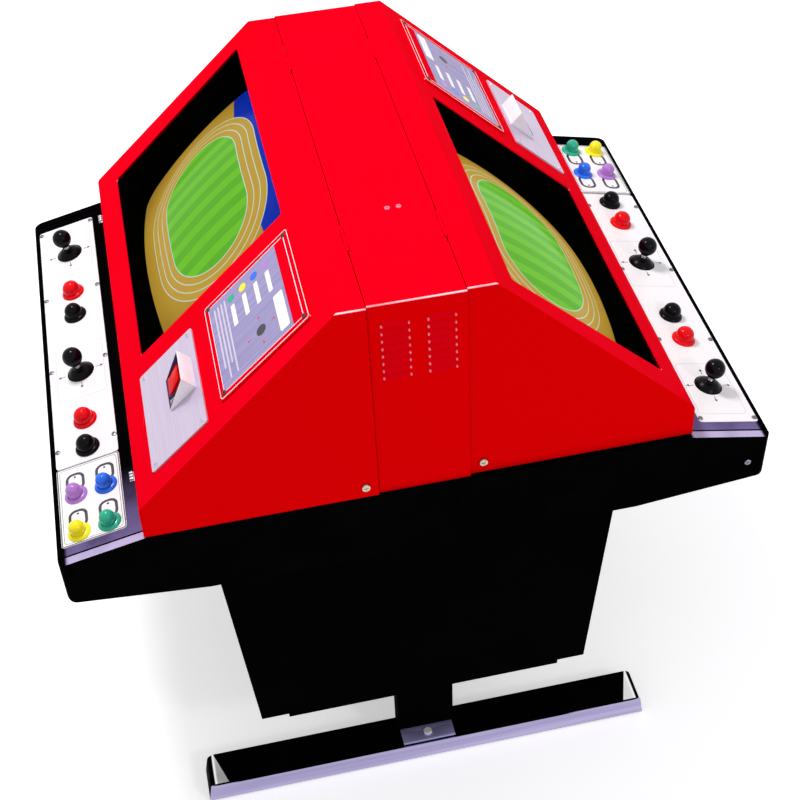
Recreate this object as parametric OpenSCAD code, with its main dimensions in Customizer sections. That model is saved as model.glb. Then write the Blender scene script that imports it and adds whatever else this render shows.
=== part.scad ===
// Cocktail table cabinet: a red tent with two sloping screens, standing on a black table with two wings.
// The cabinet repeats itself after half a turn about Z, so most pieces are drawn for the right side (+X).

/* [Table] */
// Height of the table top under the tent
table_h = 731; // [710:1:750]
// Width across both wings
table_w = 1048; // [1042:1:1056]
// Length of the table along the ridge
table_len = 804; // [802:1:816]
// Drop of each wing from the tent to its outer edge
wing_drop = 28; // [25:1:31]
// Height of the outer edge of a wing
edge_h = 79; // [76:1:84]
// Depth of the table's belly below the table top
belly_h = 128; // [124:1:132]
// Width of the flat middle of the belly
belly_w = 644; // [636:1:660]
// Thickness of the table's walls
table_wall = 12; // [10:1:13]

/* [Tent] */
// Width of the tent at the table
tent_w = 800; // [796:1:804]
// Length of the tent at the table
tent_len = 794; // [788:1:795]
// Length of the tent at the ridge
ridge_len = 758; // [752:1:764]
// Width of the flat ridge
ridge_w = 216; // [212:1:220]
// Height of the tent above the table
tent_h = 328; // [322:1:334]
// Height of the upright side walls
knee_h = 52; // [48:1:56]
// Thickness of the tent's sheet metal
sheet = 2; // [1.6:0.1:2.4]

/* [Screens] */
// Width of a monitor window along the ridge
window_w = 459; // [450:1:462]
// Height of a monitor window up the slope
window_h = 316; // [310:1:318]
// Width of a picture tube
tube_w = 424; // [420:1:428]
// Height of a picture tube
tube_h = 312; // [308:1:316]

/* [Controls] */
// Diameter of a stick's ball
ball_d = 31; // [28:1:32]
// Tilt of a stick to each side in degrees
stick_tilt = 10; // [6:1:10]
// Diameter of the rim of a play button
button_d = 37.5; // [36:0.5:39]
// Diameter of the rim of a select button
select_d = 34.5; // [33:0.5:36]
// Travel of every button
press = 4; // [3:0.5:4]

/* [Legs] */
// Length of a foot bar
foot_len = 786; // [760:2:800]
// Height of a foot bar
foot_h = 46; // [42:1:50]
// Depth of a foot bar
foot_d = 60; // [58:1:64]
// Height of the pedestal's floor above the ground
pedestal_z = 172; // [166:1:180]

/* [Hidden] */
$fn = 48;

// Angles of the wings, the belly, the slopes and the gables
wing_run = (table_w - tent_w) / 2;
wing_angle = atan2(wing_drop, wing_run);
edge_bottom = table_h - wing_drop - edge_h;
belly_z = table_h - belly_h;
belly_angle = atan2(edge_bottom - belly_z, (table_w - belly_w) / 2);
slope_angle = atan2(tent_h - knee_h, (tent_w - ridge_w) / 2);
lean = (tent_len - ridge_len) / 2 / tent_h;
lean_angle = atan(lean);
reach = 1200;

// Rounding radii
knee_r = 14;
ridge_r = 9;
gable_r = 5;
wing_corner_r = 14;
edge_r = 8;

// Seams and hinges between the centre cover and the shells, which sit a little off the cover along the ridge
cover_x = 66.4;
shell_x = 67.5;
shell_gap = 0.5;
shell_slide = 4;
hinge_x = 67;
hinge_z = table_h + tent_h - 0.5;
hinge_ys = [-233, 233];
knuckle_r = 2.6;
knuckle_len = 22;
shell_knuckle_len = 16.5;
knuckle_gap = 0.5;
knuckle_clear = 0.5;
pin_r = 1.2;
running = 0.05;
slip = 0.1;

// Window, card and coin plate on the slope: s runs up the slope from the knee, y along the ridge
window_s = 204.5;
window_y = -110;
window_r = 6;
card_low = [189, 160];
card_high = [367, 352];
card_t = 4;
coin_low = [40, 165];
coin_high = [157, 360];
coin_t = 2.5;
screw_inset = 9;
card_screw_r = 1.6;
hood_s = [94, 148];
hood_y = [224, 284];
hood_top = 28;
hood_wall = 2;
hood_floor = coin_t + 3;
coin_button_s = [100, 132];
coin_button_y = [230, 262];
coin_slot_s = [98, 134];
coin_slot_y = [268, 274];
mech_s = [72, 150];
mech_depth = 100;

// Picture tube and its surround, measured down from the slope's outer face
tube_crown = 36;
tube_face_r = 900;
tube_len = 372;
tube_corner_r = 48;
bezel_top = 9;
bezel_depth = 72;
bezel_rim = 8;
mask_w = 405;
mask_h = 293;
mask_r = 42;

// Outline of a tube's funnel: radii and their depths behind the crown
funnel_r = [260, 260, 240, 150, 75, 30];
funnel_depth = [-40, 68, 100, 180, 244, 274];
neck_r = 15.5;
neck_depth = 288;

// Louvres and gable bolts
louvre_x = [13, 49.5];
louvre_low = 207;
louvre_pitch = 12.4;
louvre_rows = 8;
louvre_slot = 5;
bolt_x = 86;
bolt_z = 20;
bolt_r = 3.5;

// Two screws on the ridge, the screw in the end of each wing and the keepers beside the shells
top_screw_xs = [3, 19];
top_screw_y = -180;
top_screw_r = 1.9;
edge_screw_x = 492;
edge_screw_drop = 74;
keeper_ys = [-351, 280];

// Control panel, measured on the wing from the tent's wall outwards
panel_x = [22, 119];
panel_y = [-369, 216];
select_y = [218, 371];
plate_t = 2;
plate_r = 5;
select_t = 3;
ledge = 8;
end_ledge = 3.5;
row_x = 68;
stick_ys = [-288, 19];
red_ys = [-179.5, 129.5];
black_ys = [-120.5, 189];
select_xs = [46, 91.5];
select_ys = [278, 351];
panel_screw_xs = [26, 115];
panel_screw_ys = [-361, -180, 0, 180];
panel_screw_r = 1.9;

// Sticks: the pivot lies under the plate, and the dust dome is a ball centred on it
pivot_depth = 13;
dome_r = 24;
dome_wall = 3;
dome_slack = 3.6;
dome_cut = dome_r * cos(acos(pivot_depth / dome_r) + sqrt(2) * stick_tilt + dome_slack);
ball_z = 33.5;
shaft_r = 4.75;
shaft_low = -28;
gimbal_r = 12;
gimbal_bore = 7.5;
gimbal_h = 7;
trunnion_r = 2;
trunnion_reach = 18.5;
ear_y = [15, 19.5];
ear_w = 8;
stick_plate_z = -36;
stick_plate_t = 3;
stick_plate_w = 60;
stick_hole_r = 22;

// Buttons
rim_h = 5;
select_rim_h = 4;
rim_lap = 2.2;
select_lap = 3.6;
barrel_len = 28;
barrel_wall = 1.4;
step_z = -14;
flange_t = 3;
flange_extra = 0.9;
cap_rise = 18;
play_barrel_r = button_d / 2 - rim_lap;
select_barrel_r = select_d / 2 - select_lap;

// Pedestal, posts and feet
pedestal_top_w = 627;
pedestal_bottom_w = 562;
pedestal_len = 694;
pedestal_wall = 15;
tray_w = 470;
tray_len = 690;
tray_h = 12;
foot_y = -372;
foot_taper = 8;
post_w = 98;
post_d = 30;
post_wall = 4;
bracket_t = 4;
bracket_w = 92;
foot_bolt_r = 4;
gland_x = 180;
gland_z = 240;
gland_r = 9;

// Steel frame inside the tent
frame_x = [38, 58];
frame_y = [342, 362];
deck_open = [620, 670];
belly_open = [530, 620];

function unit(v) = v / norm(v);

function turn(a) = a > 180 ? a - 360 : a < -180 ? a + 360 : a;

// Points of the corner c, rounded with radius r, between its neighbours p and q
function corner(p, c, q, r, steps = 6) =
    let (
        u = unit(p - c),
        v = unit(q - c),
        half = acos(u * v) / 2,
        centre = c + unit(u + v) * r / sin(half),
        from = c + u * r / tan(half) - centre,
        to = c + v * r / tan(half) - centre,
        start = atan2(from.y, from.x),
        sweep = turn(atan2(to.y, to.x) - start)
    )
    r <= 0 ? [c] : [
        for (i = [0:steps])
            centre + r * [cos(start + sweep * i / steps), sin(start + sweep * i / steps)]
    ];

// Outline with each corner rounded by its own radius
function rounded(points, radii) =
    let (count = len(points))
    [
        for (i = [0:count - 1])
            each corner(points[(i + count - 1) % count], points[i], points[(i + 1) % count], radii[i])
    ];

function rectangle(low, high) = [low, [high.x, low.y], high, [low.x, high.y]];

// Cross-section of the table, set in by t
function table_section(t) =
    let (
        wing_x = tent_w / 2 + (t - t / cos(wing_angle)) / tan(wing_angle),
        edge_x = table_w / 2 - t,
        edge_top = table_h - (wing_run - t) * tan(wing_angle) - t / cos(wing_angle),
        edge_low = edge_bottom - t * tan(belly_angle) + t / cos(belly_angle),
        belly_x = table_w / 2 - (edge_bottom - belly_z + t / cos(belly_angle) - t) / tan(belly_angle)
    )
    [
        [-wing_x, table_h - t], [-edge_x, edge_top], [-edge_x, edge_low], [-belly_x, belly_z + t],
        [belly_x, belly_z + t], [edge_x, edge_low], [edge_x, edge_top], [wing_x, table_h - t]
    ];

// Cross-section of the tent across the ridge, set in by t, down to the height foot
function tent_section(t, foot) =
    let (
        x = tent_w / 2 - t,
        drop = t / cos(slope_angle),
        knee = knee_h + t * tan(slope_angle) - drop,
        ridge_x = tent_w / 2 - (tent_h - t - knee_h + drop) / tan(slope_angle)
    )
    [[-x, foot], [x, foot], [x, knee], [ridge_x, tent_h - t], [-ridge_x, tent_h - t], [-x, knee]];

// Outline of the tent along the ridge, set in by t, down to the height foot
function gable_section(t, foot) =
    let (
        inset = t / cos(lean_angle),
        low_y = tent_len / 2 - lean * foot - inset,
        top_y = tent_len / 2 - lean * (tent_h - t) - inset
    )
    [[-low_y, foot], [low_y, foot], [top_y, tent_h - t], [-top_y, tent_h - t]];

module block(low, high) {
    translate(low) cube(high - low);
}

// Flat plate between two corners, with rounded corners in plan
module plate(low, high, r) {
    translate([0, 0, low.z])
        linear_extrude(high.z - low.z)
            polygon(rounded(rectangle([low.x, low.y], [high.x, high.y]), [r, r, r, r]));
}

// Outline in X and Z, drawn along Y from low to high
module along_y(low, high, points) {
    translate([0, high, 0])
        rotate([90, 0, 0])
            linear_extrude(high - low)
                polygon(points);
}

module y_cylinder(r, low, high) {
    translate([0, low, 0]) rotate([-90, 0, 0]) cylinder(r = r, h = high - low);
}

module x_cylinder(r, low, high) {
    translate([low, 0, 0]) rotate([0, 90, 0]) cylinder(r = r, h = high - low);
}

module z_cylinder(r, low, high) {
    translate([0, 0, low]) cylinder(r = r, h = high - low);
}

module right() {
    children();
}

module left() {
    rotate([0, 0, 180]) children();
}

module both() {
    right() children();
    left() children();
}

// Local frame on the right slope: X down the slope from the knee, Z outwards
module on_slope() {
    translate([tent_w / 2, 0, table_h + knee_h]) rotate([0, slope_angle, 0]) children();
}

// Local frame at the middle of the right monitor window
module on_window() {
    on_slope() translate([-window_s, window_y, 0]) children();
}

// Local frame on the right wing: X out from the tent's wall, Z outwards
module on_wing() {
    translate([tent_w / 2, 0, table_h]) rotate([0, wing_angle, 0]) children();
}

// Local frame on the front gable: Z up the gable, Y into the tent
module on_gable() {
    translate([0, -tent_len / 2, table_h]) rotate([-lean_angle, 0, 0]) children();
}

module both_gables() {
    on_gable() children();
    mirror([0, 1, 0]) on_gable() children();
}

module at_hinges() {
    for (y = hinge_ys)
        translate([hinge_x, y, hinge_z]) children();
}

module at_card_corners() {
    for (s = [card_low.x + screw_inset, card_high.x - screw_inset])
        for (y = [card_low.y + screw_inset, card_high.y - screw_inset])
            translate([-s, y, 0]) children();
}

module at_coin_corners() {
    for (s = [coin_low.x + screw_inset, coin_high.x - screw_inset])
        for (y = [coin_low.y + screw_inset, coin_high.y - screw_inset])
            translate([-s, y, 0]) children();
}

module at_top_screws() {
    for (x = top_screw_xs)
        translate([x, top_screw_y, table_h + tent_h]) children();
}

module at_panel_screws() {
    for (x = panel_screw_xs)
        for (y = panel_screw_ys)
            translate([x, y, 0]) children();
}

module at_sticks() {
    for (y = stick_ys)
        translate([row_x, y, 0]) children();
}

module at_play_buttons() {
    for (y = concat(red_ys, black_ys))
        translate([row_x, y, 0]) children();
}

module at_select_buttons() {
    for (x = select_xs)
        for (y = select_ys)
            translate([x, y, 0]) children();
}

// Solid tent, set in by t
module tent(t, foot) {
    translate([0, 0, table_h])
        intersection() {
            along_y(-reach, reach, rounded(tent_section(t, foot),
                [0, 0, knee_r - t, ridge_r - t, ridge_r - t, knee_r - t]));
            rotate([90, 0, 90])
                linear_extrude(2 * reach, center = true)
                    polygon(rounded(gable_section(t, foot), [0, 0, gable_r - t, gable_r - t]));
        }
}

// Table and legs

module table_body() {
    top_r = 3;
    section_r = [0, top_r, edge_r, 0, 0, edge_r, top_r, 0];
    inner_len = table_len - 2 * table_wall;
    opening_x = [panel_x[0] + ledge, panel_x[1] - ledge];
    rib_y = [panel_y[1] - ledge, select_y[0] + ledge];
    slack = 0.5;
    opening_r = 6;
    hatch_r = 20;
    groove_y = 386;
    groove_w = 3;
    color("#141416")
        difference() {
            intersection() {
                along_y(-table_len / 2, table_len / 2, rounded(table_section(0), section_r));
                plate([-table_w / 2, -table_len / 2, 0], [table_w / 2, table_len / 2, reach], wing_corner_r);
            }
            along_y(-inner_len / 2, inner_len / 2, table_section(table_wall));
            plate([-deck_open.x / 2, -deck_open.y / 2, table_h - 2 * table_wall],
                [deck_open.x / 2, deck_open.y / 2, table_h + 1], hatch_r);
            plate([-belly_open.x / 2, -belly_open.y / 2, belly_z - 1],
                [belly_open.x / 2, belly_open.y / 2, belly_z + 2 * table_wall], hatch_r);
            both()
                on_wing() {
                    plate([panel_x[0] - slack, panel_y[0] - slack, -plate_t],
                        [panel_x[1] + slack, select_y[1] + slack, 10], opening_r);
                    plate([opening_x[0], panel_y[0] + ledge, -2 * table_wall],
                        [opening_x[1], rib_y[0], 0], opening_r);
                    plate([opening_x[0], rib_y[1], -2 * table_wall],
                        [opening_x[1], select_y[1] - end_ledge, 0], opening_r);
                    at_panel_screws() z_cylinder(panel_screw_r + slip, -11, 0);
                    for (y = [-groove_y - groove_w, groove_y])
                        block([-1, y, -groove_w], [2 * wing_run, y + groove_w, 10]);
                }
            both() edge_screw(slip);
        }
}

// Screw in the end of a wing, or its hole when grown by extra
module edge_screw(extra) {
    shank_r = 2.4;
    shank_len = 9;
    head_r = 5;
    head_h = 2.5;
    translate([edge_screw_x, -table_len / 2, table_h - edge_screw_drop]) {
        y_cylinder(shank_r + extra, -1, shank_len + extra);
        if (extra == 0) y_cylinder(head_r, -head_h, 0);
    }
}

module pedestal() {
    top = pedestal_top_w / 2;
    low = pedestal_bottom_w / 2;
    side = pedestal_wall;
    floor_z = pedestal_z + pedestal_wall;
    inner_low = low + (top - low) * pedestal_wall / (belly_z - pedestal_z) - side;
    color("#141416")
        difference() {
            union() {
                along_y(-pedestal_len / 2, pedestal_len / 2,
                    [[-top, belly_z], [-low, pedestal_z], [low, pedestal_z], [top, belly_z]]);
                block([-tray_w / 2, -tray_len / 2, pedestal_z - tray_h],
                    [tray_w / 2, tray_len / 2, pedestal_z + 1]);
            }
            along_y(-pedestal_len / 2 + side, pedestal_len / 2 - side, [
                [side - top, belly_z + 1], [-inner_low, floor_z],
                [inner_low, floor_z], [top - side, belly_z + 1]
            ]);
            translate([gland_x, 0, gland_z]) y_cylinder(gland_r + slip, pedestal_len / 2 - 2 * side, reach);
        }
}

module leg_posts() {
    top = pedestal_z - tray_h;
    back = foot_y + foot_d;
    color("#1b1b1e")
        both()
            difference() {
                block([-post_w / 2, back - post_d, foot_h], [post_w / 2, back, top]);
                block([post_wall - post_w / 2, back - post_d + post_wall, foot_h - 1],
                    [post_w / 2 - post_wall, back - post_wall, top + 1]);
            }
}

module foot_bars() {
    low = foot_len / 2;
    high = low - foot_taper;
    color("#101012")
        both()
            difference() {
                along_y(foot_y, foot_y + foot_d,
                    rounded([[-low, 0], [low, 0], [high, foot_h], [-high, foot_h]], [2, 2, 14, 14]));
                translate([0, foot_y + (foot_d - post_d) / 2, foot_h])
                    z_cylinder(foot_bolt_r + slip, -20, 1);
            }
}

// Chrome strip along each foot bar and the bolted plate in front of each post
module foot_chrome() {
    strip_t = 3;
    strip_z = [3, foot_h - 3];
    strip_x = [for (z = strip_z) foot_len / 2 - foot_taper * z / foot_h];
    plate_y = [foot_y, foot_y + foot_d - post_d];
    color("#c9c9d4")
        both() {
            along_y(foot_y - strip_t, foot_y, [
                [-strip_x[0], strip_z[0]], [strip_x[0], strip_z[0]],
                [strip_x[1], strip_z[1]], [-strip_x[1], strip_z[1]]
            ]);
            difference() {
                block([-bracket_w / 2, plate_y[0], foot_h], [bracket_w / 2, plate_y[1], foot_h + bracket_t]);
                translate([0, (plate_y[0] + plate_y[1]) / 2, foot_h])
                    z_cylinder(foot_bolt_r + slip, -1, bracket_t + 1);
            }
        }
}

// Tent

module louvre(z) {
    hood = 4;
    block([louvre_x[0], -hood, z], [louvre_x[1], hood, z + louvre_slot]);
}

// Pressed lip over a louvre's slot
module louvre_lip(z) {
    out = 4;
    lip = 0.9;
    translate([louvre_x[0], 0, z])
        rotate([90, 0, 90])
            linear_extrude(louvre_x[1] - louvre_x[0])
                polygon([[lip, louvre_slot + 3], [-out, lip], [-out, 0], [lip, louvre_slot]]);
}

module all_louvres() {
    for (i = [0:louvre_rows - 1])
        for (flip = [0, 1])
            mirror([flip, 0, 0]) translate([0, 0, louvre_low + i * louvre_pitch]) children();
}

module centre_cover() {
    clear = knuckle_r + knuckle_clear;
    offset_y = knuckle_len / 2 + knuckle_gap;
    color("#d20f1e")
        difference() {
            union() {
                difference() {
                    intersection() {
                        tent(0, 0);
                        block([-cover_x, -reach, 0], [cover_x, reach, 2 * reach]);
                    }
                    tent(sheet, -1);
                    both_gables() all_louvres() louvre(0);
                    both()
                        at_hinges()
                            for (side = [-1, 1])
                                translate([0, side * (offset_y + shell_knuckle_len / 2), 0])
                                    y_cylinder(clear, -shell_knuckle_len / 2 - 1, shell_knuckle_len / 2 + 1);
                }
                both_gables() all_louvres() louvre_lip(0);
                both() at_hinges() y_cylinder(knuckle_r, -knuckle_len / 2, knuckle_len / 2);
            }
            both() at_hinges() y_cylinder(pin_r + running, -40, 40);
            at_top_screws() z_cylinder(top_screw_r + slip, -9, 9);
        }
}

// Place of the right shell along the ridge
module slid() {
    translate([0, shell_slide, 0]) children();
}

module shell() {
    clear = knuckle_r + knuckle_clear;
    half = knuckle_len / 2 + knuckle_gap;
    color("#d8101f")
        difference() {
            union() {
                difference() {
                    intersection() {
                        slid() tent(0, shell_gap);
                        block([shell_x, -reach, 0], [reach, reach, 2 * reach]);
                    }
                    slid() tent(sheet, -1);
                    at_hinges() y_cylinder(clear, -half, half);
                }
                at_hinges()
                    for (side = [0, 1])
                        mirror([0, side, 0]) y_cylinder(knuckle_r, half, half + shell_knuckle_len);
            }
            at_hinges() y_cylinder(pin_r + running, -40, 40);
            on_window()
                plate([-window_h / 2, -window_w / 2, -20], [window_h / 2, window_w / 2, 20], window_r);
            on_slope() {
                at_card_corners() z_cylinder(card_screw_r + slip, -9, 9);
                at_coin_corners() z_cylinder(card_screw_r + slip, -9, 9);
                plate([-mech_s[1] - 2, hood_y[0] - 4, -9], [-mech_s[0] + 6, hood_y[1] + 22, 9], 3);
            }
            slid() both_gables() translate([bolt_x, 0, bolt_z]) y_cylinder(bolt_r + slip, -9, 9);
        }
}

module window_pane() {
    lap = 9;
    pane_t = 4;
    color("#30343a")
        on_window()
            plate([-window_h / 2 - lap, -window_w / 2 - lap, -sheet - pane_t],
                [window_h / 2 + lap, window_w / 2 + lap, -sheet], window_r);
}

module card_cover() {
    color("#b9b2d6")
        on_slope()
            difference() {
                plate([-card_high.x, card_low.y, 0], [-card_low.x, card_high.y, card_t], 5);
                at_card_corners() z_cylinder(card_screw_r + slip, -1, card_t + 1);
            }
}

// Openings for the coin return button and the coin in the plates under the hood
module coin_openings() {
    play = 0.4;
    block([-coin_button_s[1] - play, coin_button_y[0] - play, -9],
        [-coin_button_s[0] + play, coin_button_y[1] + play, 60]);
    block([-coin_slot_s[1], coin_slot_y[0], -9], [-coin_slot_s[0], coin_slot_y[1], 60]);
}

module coin_plate() {
    color("#b5afbf")
        on_slope()
            difference() {
                plate([-coin_high.x, coin_low.y, 0], [-coin_low.x, coin_high.y, coin_t], 4);
                at_coin_corners() z_cylinder(card_screw_r + slip, -1, coin_t + 1);
                coin_openings();
            }
}

// White hood round the coin slot, high on the ridge side and open towards the player
module coin_hood() {
    lip = 2.5;
    color("#f2f0f4")
        on_slope()
            difference() {
                along_y(hood_y[0], hood_y[1], [
                    [-hood_s[0], coin_t], [-hood_s[0], coin_t + lip], [-hood_s[1] + hood_wall, hood_top],
                    [-hood_s[1], hood_top], [-hood_s[1], coin_t]
                ]);
                block([-hood_s[1] + hood_wall, hood_y[0] + hood_wall, hood_floor],
                    [0, hood_y[1] - hood_wall, hood_top + 1]);
                coin_openings();
            }
}

// Red push piece with a slanting top and a flange that stops it under the coin plate
module coin_button() {
    low = 8;
    high = 18;
    flange = 2.5;
    stop = 0.3;
    color("#c8101c")
        on_slope() {
            along_y(coin_button_y[0], coin_button_y[1], [
                [-coin_button_s[0], -stop - flange], [-coin_button_s[0], low],
                [-coin_button_s[1], high], [-coin_button_s[1], -stop - flange]
            ]);
            block([-coin_button_s[1] - flange, coin_button_y[0] - flange, -stop - flange],
                [-coin_button_s[0] + flange, coin_button_y[1] + flange, -stop]);
        }
}

// Coin chute with its testing block
module coin_mech() {
    skin = 2;
    cap = 4;
    block_w = 28;
    color("#8d8f96")
        on_slope() {
            difference() {
                block([-mech_s[1], coin_slot_y[0] - skin, -mech_depth],
                    [-mech_s[0], coin_slot_y[1] + skin, 0]);
                block([-mech_s[1] + cap, coin_slot_y[0], -mech_depth - 1],
                    [-mech_s[0] - cap, coin_slot_y[1], 1]);
            }
            block([-mech_s[1] + 8, coin_slot_y[1] + skin / 2, -mech_depth + 10],
                [-mech_s[0] - 8, coin_slot_y[1] + block_w, -10]);
        }
}

module pan_screw(head_r, head_h, shank_r, shank_len) {
    z_cylinder(shank_r, -shank_len, head_h / 2);
    z_cylinder(head_r, 0, head_h);
}

module shell_screws() {
    color("#b8b09a") {
        on_slope() {
            translate([0, 0, card_t]) at_card_corners() pan_screw(3.6, 2, card_screw_r, 9);
            translate([0, 0, coin_t]) at_coin_corners() pan_screw(3.2, 1.6, card_screw_r, 8);
        }
        slid()
            both_gables()
                translate([bolt_x, 0, bolt_z]) {
                    y_cylinder(bolt_r, -3, 12);
                    y_cylinder(6.5, -4, 0);
                }
    }
}

module hinge_pins() {
    half = knuckle_len / 2 + knuckle_gap + shell_knuckle_len;
    color("silver") both() at_hinges() y_cylinder(pin_r, -half, half);
}

// Welded frame inside the tent that carries the hinge side of the cover and both monitors
module inner_frame() {
    top = table_h + tent_h - sheet;
    bar = 20;
    color("#3a3c40") {
        for (flip = [0, 1])
            mirror([0, flip, 0]) {
                both_x() block([frame_x[0], -frame_y[1], table_h], [frame_x[1], -frame_y[0], top]);
                block([-frame_x[0] - 1, -frame_y[1], top - bar], [frame_x[0] + 1, -frame_y[0], top]);
            }
        both_x() block([frame_x[0], -frame_y[0] - 1, top - bar], [frame_x[1], frame_y[0] + 1, top]);
        both() monitor_frame(top - bar);
    }
}

module both_x() {
    children();
    mirror([1, 0, 0]) children();
}

// Point of the right slope's cross-section, n outwards from its face
function slope_point(s, n) = [
    tent_w / 2 - s * cos(slope_angle) + n * sin(slope_angle),
    table_h + knee_h + s * sin(slope_angle) + n * cos(slope_angle)
];

// Ring round a picture tube with two legs on the table and two arms up to the rail
module monitor_frame(rail_z) {
    ring_z = [-96, -84];
    ring_bar = 16;
    play = 1;
    arm_w = 14;
    arm_y = 150;
    bite = 4;
    leg_x = [deck_open.x / 2 + 2, deck_open.x / 2 + 24];
    outer = [tube_h / 2 + ring_bar, tube_w / 2 + ring_bar];
    low_s = window_s - outer.x + bite;
    high_s = window_s + outer.x - bite;
    on_window()
        difference() {
            plate([-outer.x, -outer.y, ring_z[0]], [outer.x, outer.y, ring_z[1]], tube_corner_r);
            plate([-tube_h / 2 - play, -tube_w / 2 - play, ring_z[0] - 1],
                [tube_h / 2 + play, tube_w / 2 + play, ring_z[1] + 1], tube_corner_r);
        }
    for (y = [window_y - arm_y, window_y + arm_y]) {
        along_y(y - arm_w / 2, y + arm_w / 2, [
            [leg_x[0], table_h], [leg_x[1], table_h],
            slope_point(low_s, ring_z[1]), slope_point(low_s, ring_z[0])
        ]);
        along_y(y - arm_w / 2, y + arm_w / 2, [
            slope_point(high_s, ring_z[0]), slope_point(high_s, ring_z[1]),
            [frame_x[1], rail_z + bite], [frame_x[0], rail_z + bite]
        ]);
    }
}

// Bulb of a picture tube, set in by t: a curved face, a rectangular funnel and a round neck
module tube_bulb(t, neck, end) {
    face_t = 1.5 * t;
    translate([0, 0, -tube_crown])
        intersection() {
            rotate_extrude($fn = 96)
                polygon(concat(
                    [[0, -end], [0, -funnel_depth[0]]],
                    [for (i = [0:len(funnel_r) - 1]) [funnel_r[i] - t, -funnel_depth[i]]],
                    [[neck, -neck_depth], [neck, -end]]
                ));
            plate([t - tube_h / 2, t - tube_w / 2, -end - 1],
                [tube_h / 2 - t, tube_w / 2 - t, 1], tube_corner_r - t);
            translate([0, 0, -tube_face_r]) sphere(r = tube_face_r - face_t, $fn = 180);
        }
}

// Hollow glass tube, open at the end of its neck, with its coil
module monitor_tube() {
    glass = 8;
    neck_wall = 2.5;
    coil_r = 40;
    coil_z = [-tube_crown - 320, -tube_crown - 292];
    coil_play = 0.5;
    color("#4d5356")
        on_window() {
            difference() {
                tube_bulb(0, neck_r, tube_len);
                tube_bulb(glass, neck_r - neck_wall, tube_len + 1);
            }
            difference() {
                z_cylinder(coil_r, coil_z[0], coil_z[1]);
                z_cylinder(neck_r + coil_play, coil_z[0] - 1, coil_z[1] + 1);
            }
        }
}

module monitor_tubes() {
    both() monitor_tube();
}

// Black surround that slopes from the window down to the tube's face
module monitor_bezel() {
    play = 1;
    thin = 0.01;
    mouth_z = 0.5 - bezel_top;
    outer = [window_h / 2 + bezel_rim, window_w / 2 + bezel_rim];
    color("#0b0b0c")
        on_window()
            difference() {
                plate([-outer.x, -outer.y, -bezel_depth], [outer.x, outer.y, -bezel_top], window_r);
                hull() {
                    plate([-window_h / 2, -window_w / 2, mouth_z],
                        [window_h / 2, window_w / 2, mouth_z + thin], window_r);
                    plate([-mask_h / 2, -mask_w / 2, -bezel_depth - 1],
                        [mask_h / 2, mask_w / 2, -bezel_depth - 1 + thin], mask_r);
                }
                translate([0, 0, -tube_crown - tube_face_r]) sphere(r = tube_face_r + play, $fn = 180);
            }
}

module monitor_bezels() {
    both() monitor_bezel();
}

// Controls

module control_plates() {
    color("#eeecee")
        both()
            on_wing()
                difference() {
                    plate([panel_x[0], panel_y[0], -plate_t], [panel_x[1], panel_y[1], 0], plate_r);
                    at_sticks() z_cylinder(stick_hole_r, -9, 9);
                    at_play_buttons() z_cylinder(play_barrel_r + slip, -9, 9);
                    at_panel_screws() z_cylinder(panel_screw_r + slip, -9, 9);
                }
}

module select_plates() {
    color("#e4e2e8")
        both()
            on_wing()
                difference() {
                    plate([panel_x[0], select_y[0], -plate_t],
                        [panel_x[1], select_y[1], select_t - plate_t], plate_r);
                    at_select_buttons() z_cylinder(select_barrel_r + slip, -9, 9);
                }
}

function bore_r(barrel) = barrel - barrel_wall - flange_extra;

// Housing of a button: a rim on the plate and a barrel with a step that stops the plunger
module button_housing(rim_d, barrel, rim) {
    r = rim_d / 2;
    bevel = 1.5;
    rotate_extrude()
        polygon([
            [bore_r(barrel), rim], [r - bevel, rim], [r, rim - bevel], [r, 0], [barrel, 0],
            [barrel, -barrel_len], [barrel - barrel_wall, -barrel_len],
            [barrel - barrel_wall, step_z], [bore_r(barrel), step_z]
        ]);
}

module button_housings() {
    color("#22242a")
        both()
            on_wing() {
                at_play_buttons() button_housing(button_d, play_barrel_r, rim_h);
                translate([0, 0, select_t - plate_t])
                    at_select_buttons() button_housing(select_d, select_barrel_r, select_rim_h);
            }
}

// Plunger with a domed top, a flange under the step and a stem that works the switch
module plunger(barrel, rim) {
    r = bore_r(barrel) - slip;
    stem_r = 4;
    rest = 0.1;
    stem_z = press - barrel_len + 0.5;
    bulge = 0.8 * r;
    dome_ball = (r * r + bulge * bulge) / (2 * bulge);
    rotate_extrude()
        polygon(concat(
            [
                [0, stem_z], [stem_r, stem_z], [stem_r, step_z - rest - flange_t],
                [r + flange_extra - 0.2, step_z - rest - flange_t], [r + flange_extra - 0.2, step_z - rest],
                [r, step_z - rest], [r, rim + cap_rise - bulge]
            ],
            [
                for (i = [1:6])
                    let (x = r * (1 - i / 6))
                    [x, rim + cap_rise - dome_ball + sqrt(dome_ball * dome_ball - x * x)]
            ]
        ));
}

module red_button(i) {
    color("#d01622") on_wing() translate([row_x, red_ys[i], 0]) plunger(play_barrel_r, rim_h);
}

module black_button(i) {
    color("#17171a") on_wing() translate([row_x, black_ys[i], 0]) plunger(play_barrel_r, rim_h);
}

module select_button(column, row, shade) {
    color(shade)
        on_wing()
            translate([select_xs[column], select_ys[row], select_t - plate_t])
                plunger(select_barrel_r, select_rim_h);
}

// Switch under a button, closed onto the end of its barrel
module button_switch() {
    half = [14, 6];
    body_h = 14;
    block([-half.x, -half.y, -barrel_len - body_h], [half.x, half.y, -barrel_len]);
}

// Four leaf switches round the lower end of a stick
module stick_switches() {
    centre = 11;
    half = 3.5;
    body_h = 10;
    for (turn = [0:90:270])
        rotate([0, 0, turn])
            translate([centre, centre, stick_plate_z + stick_plate_t])
                block([-half, -half, 0], [half, half, body_h]);
}

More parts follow.
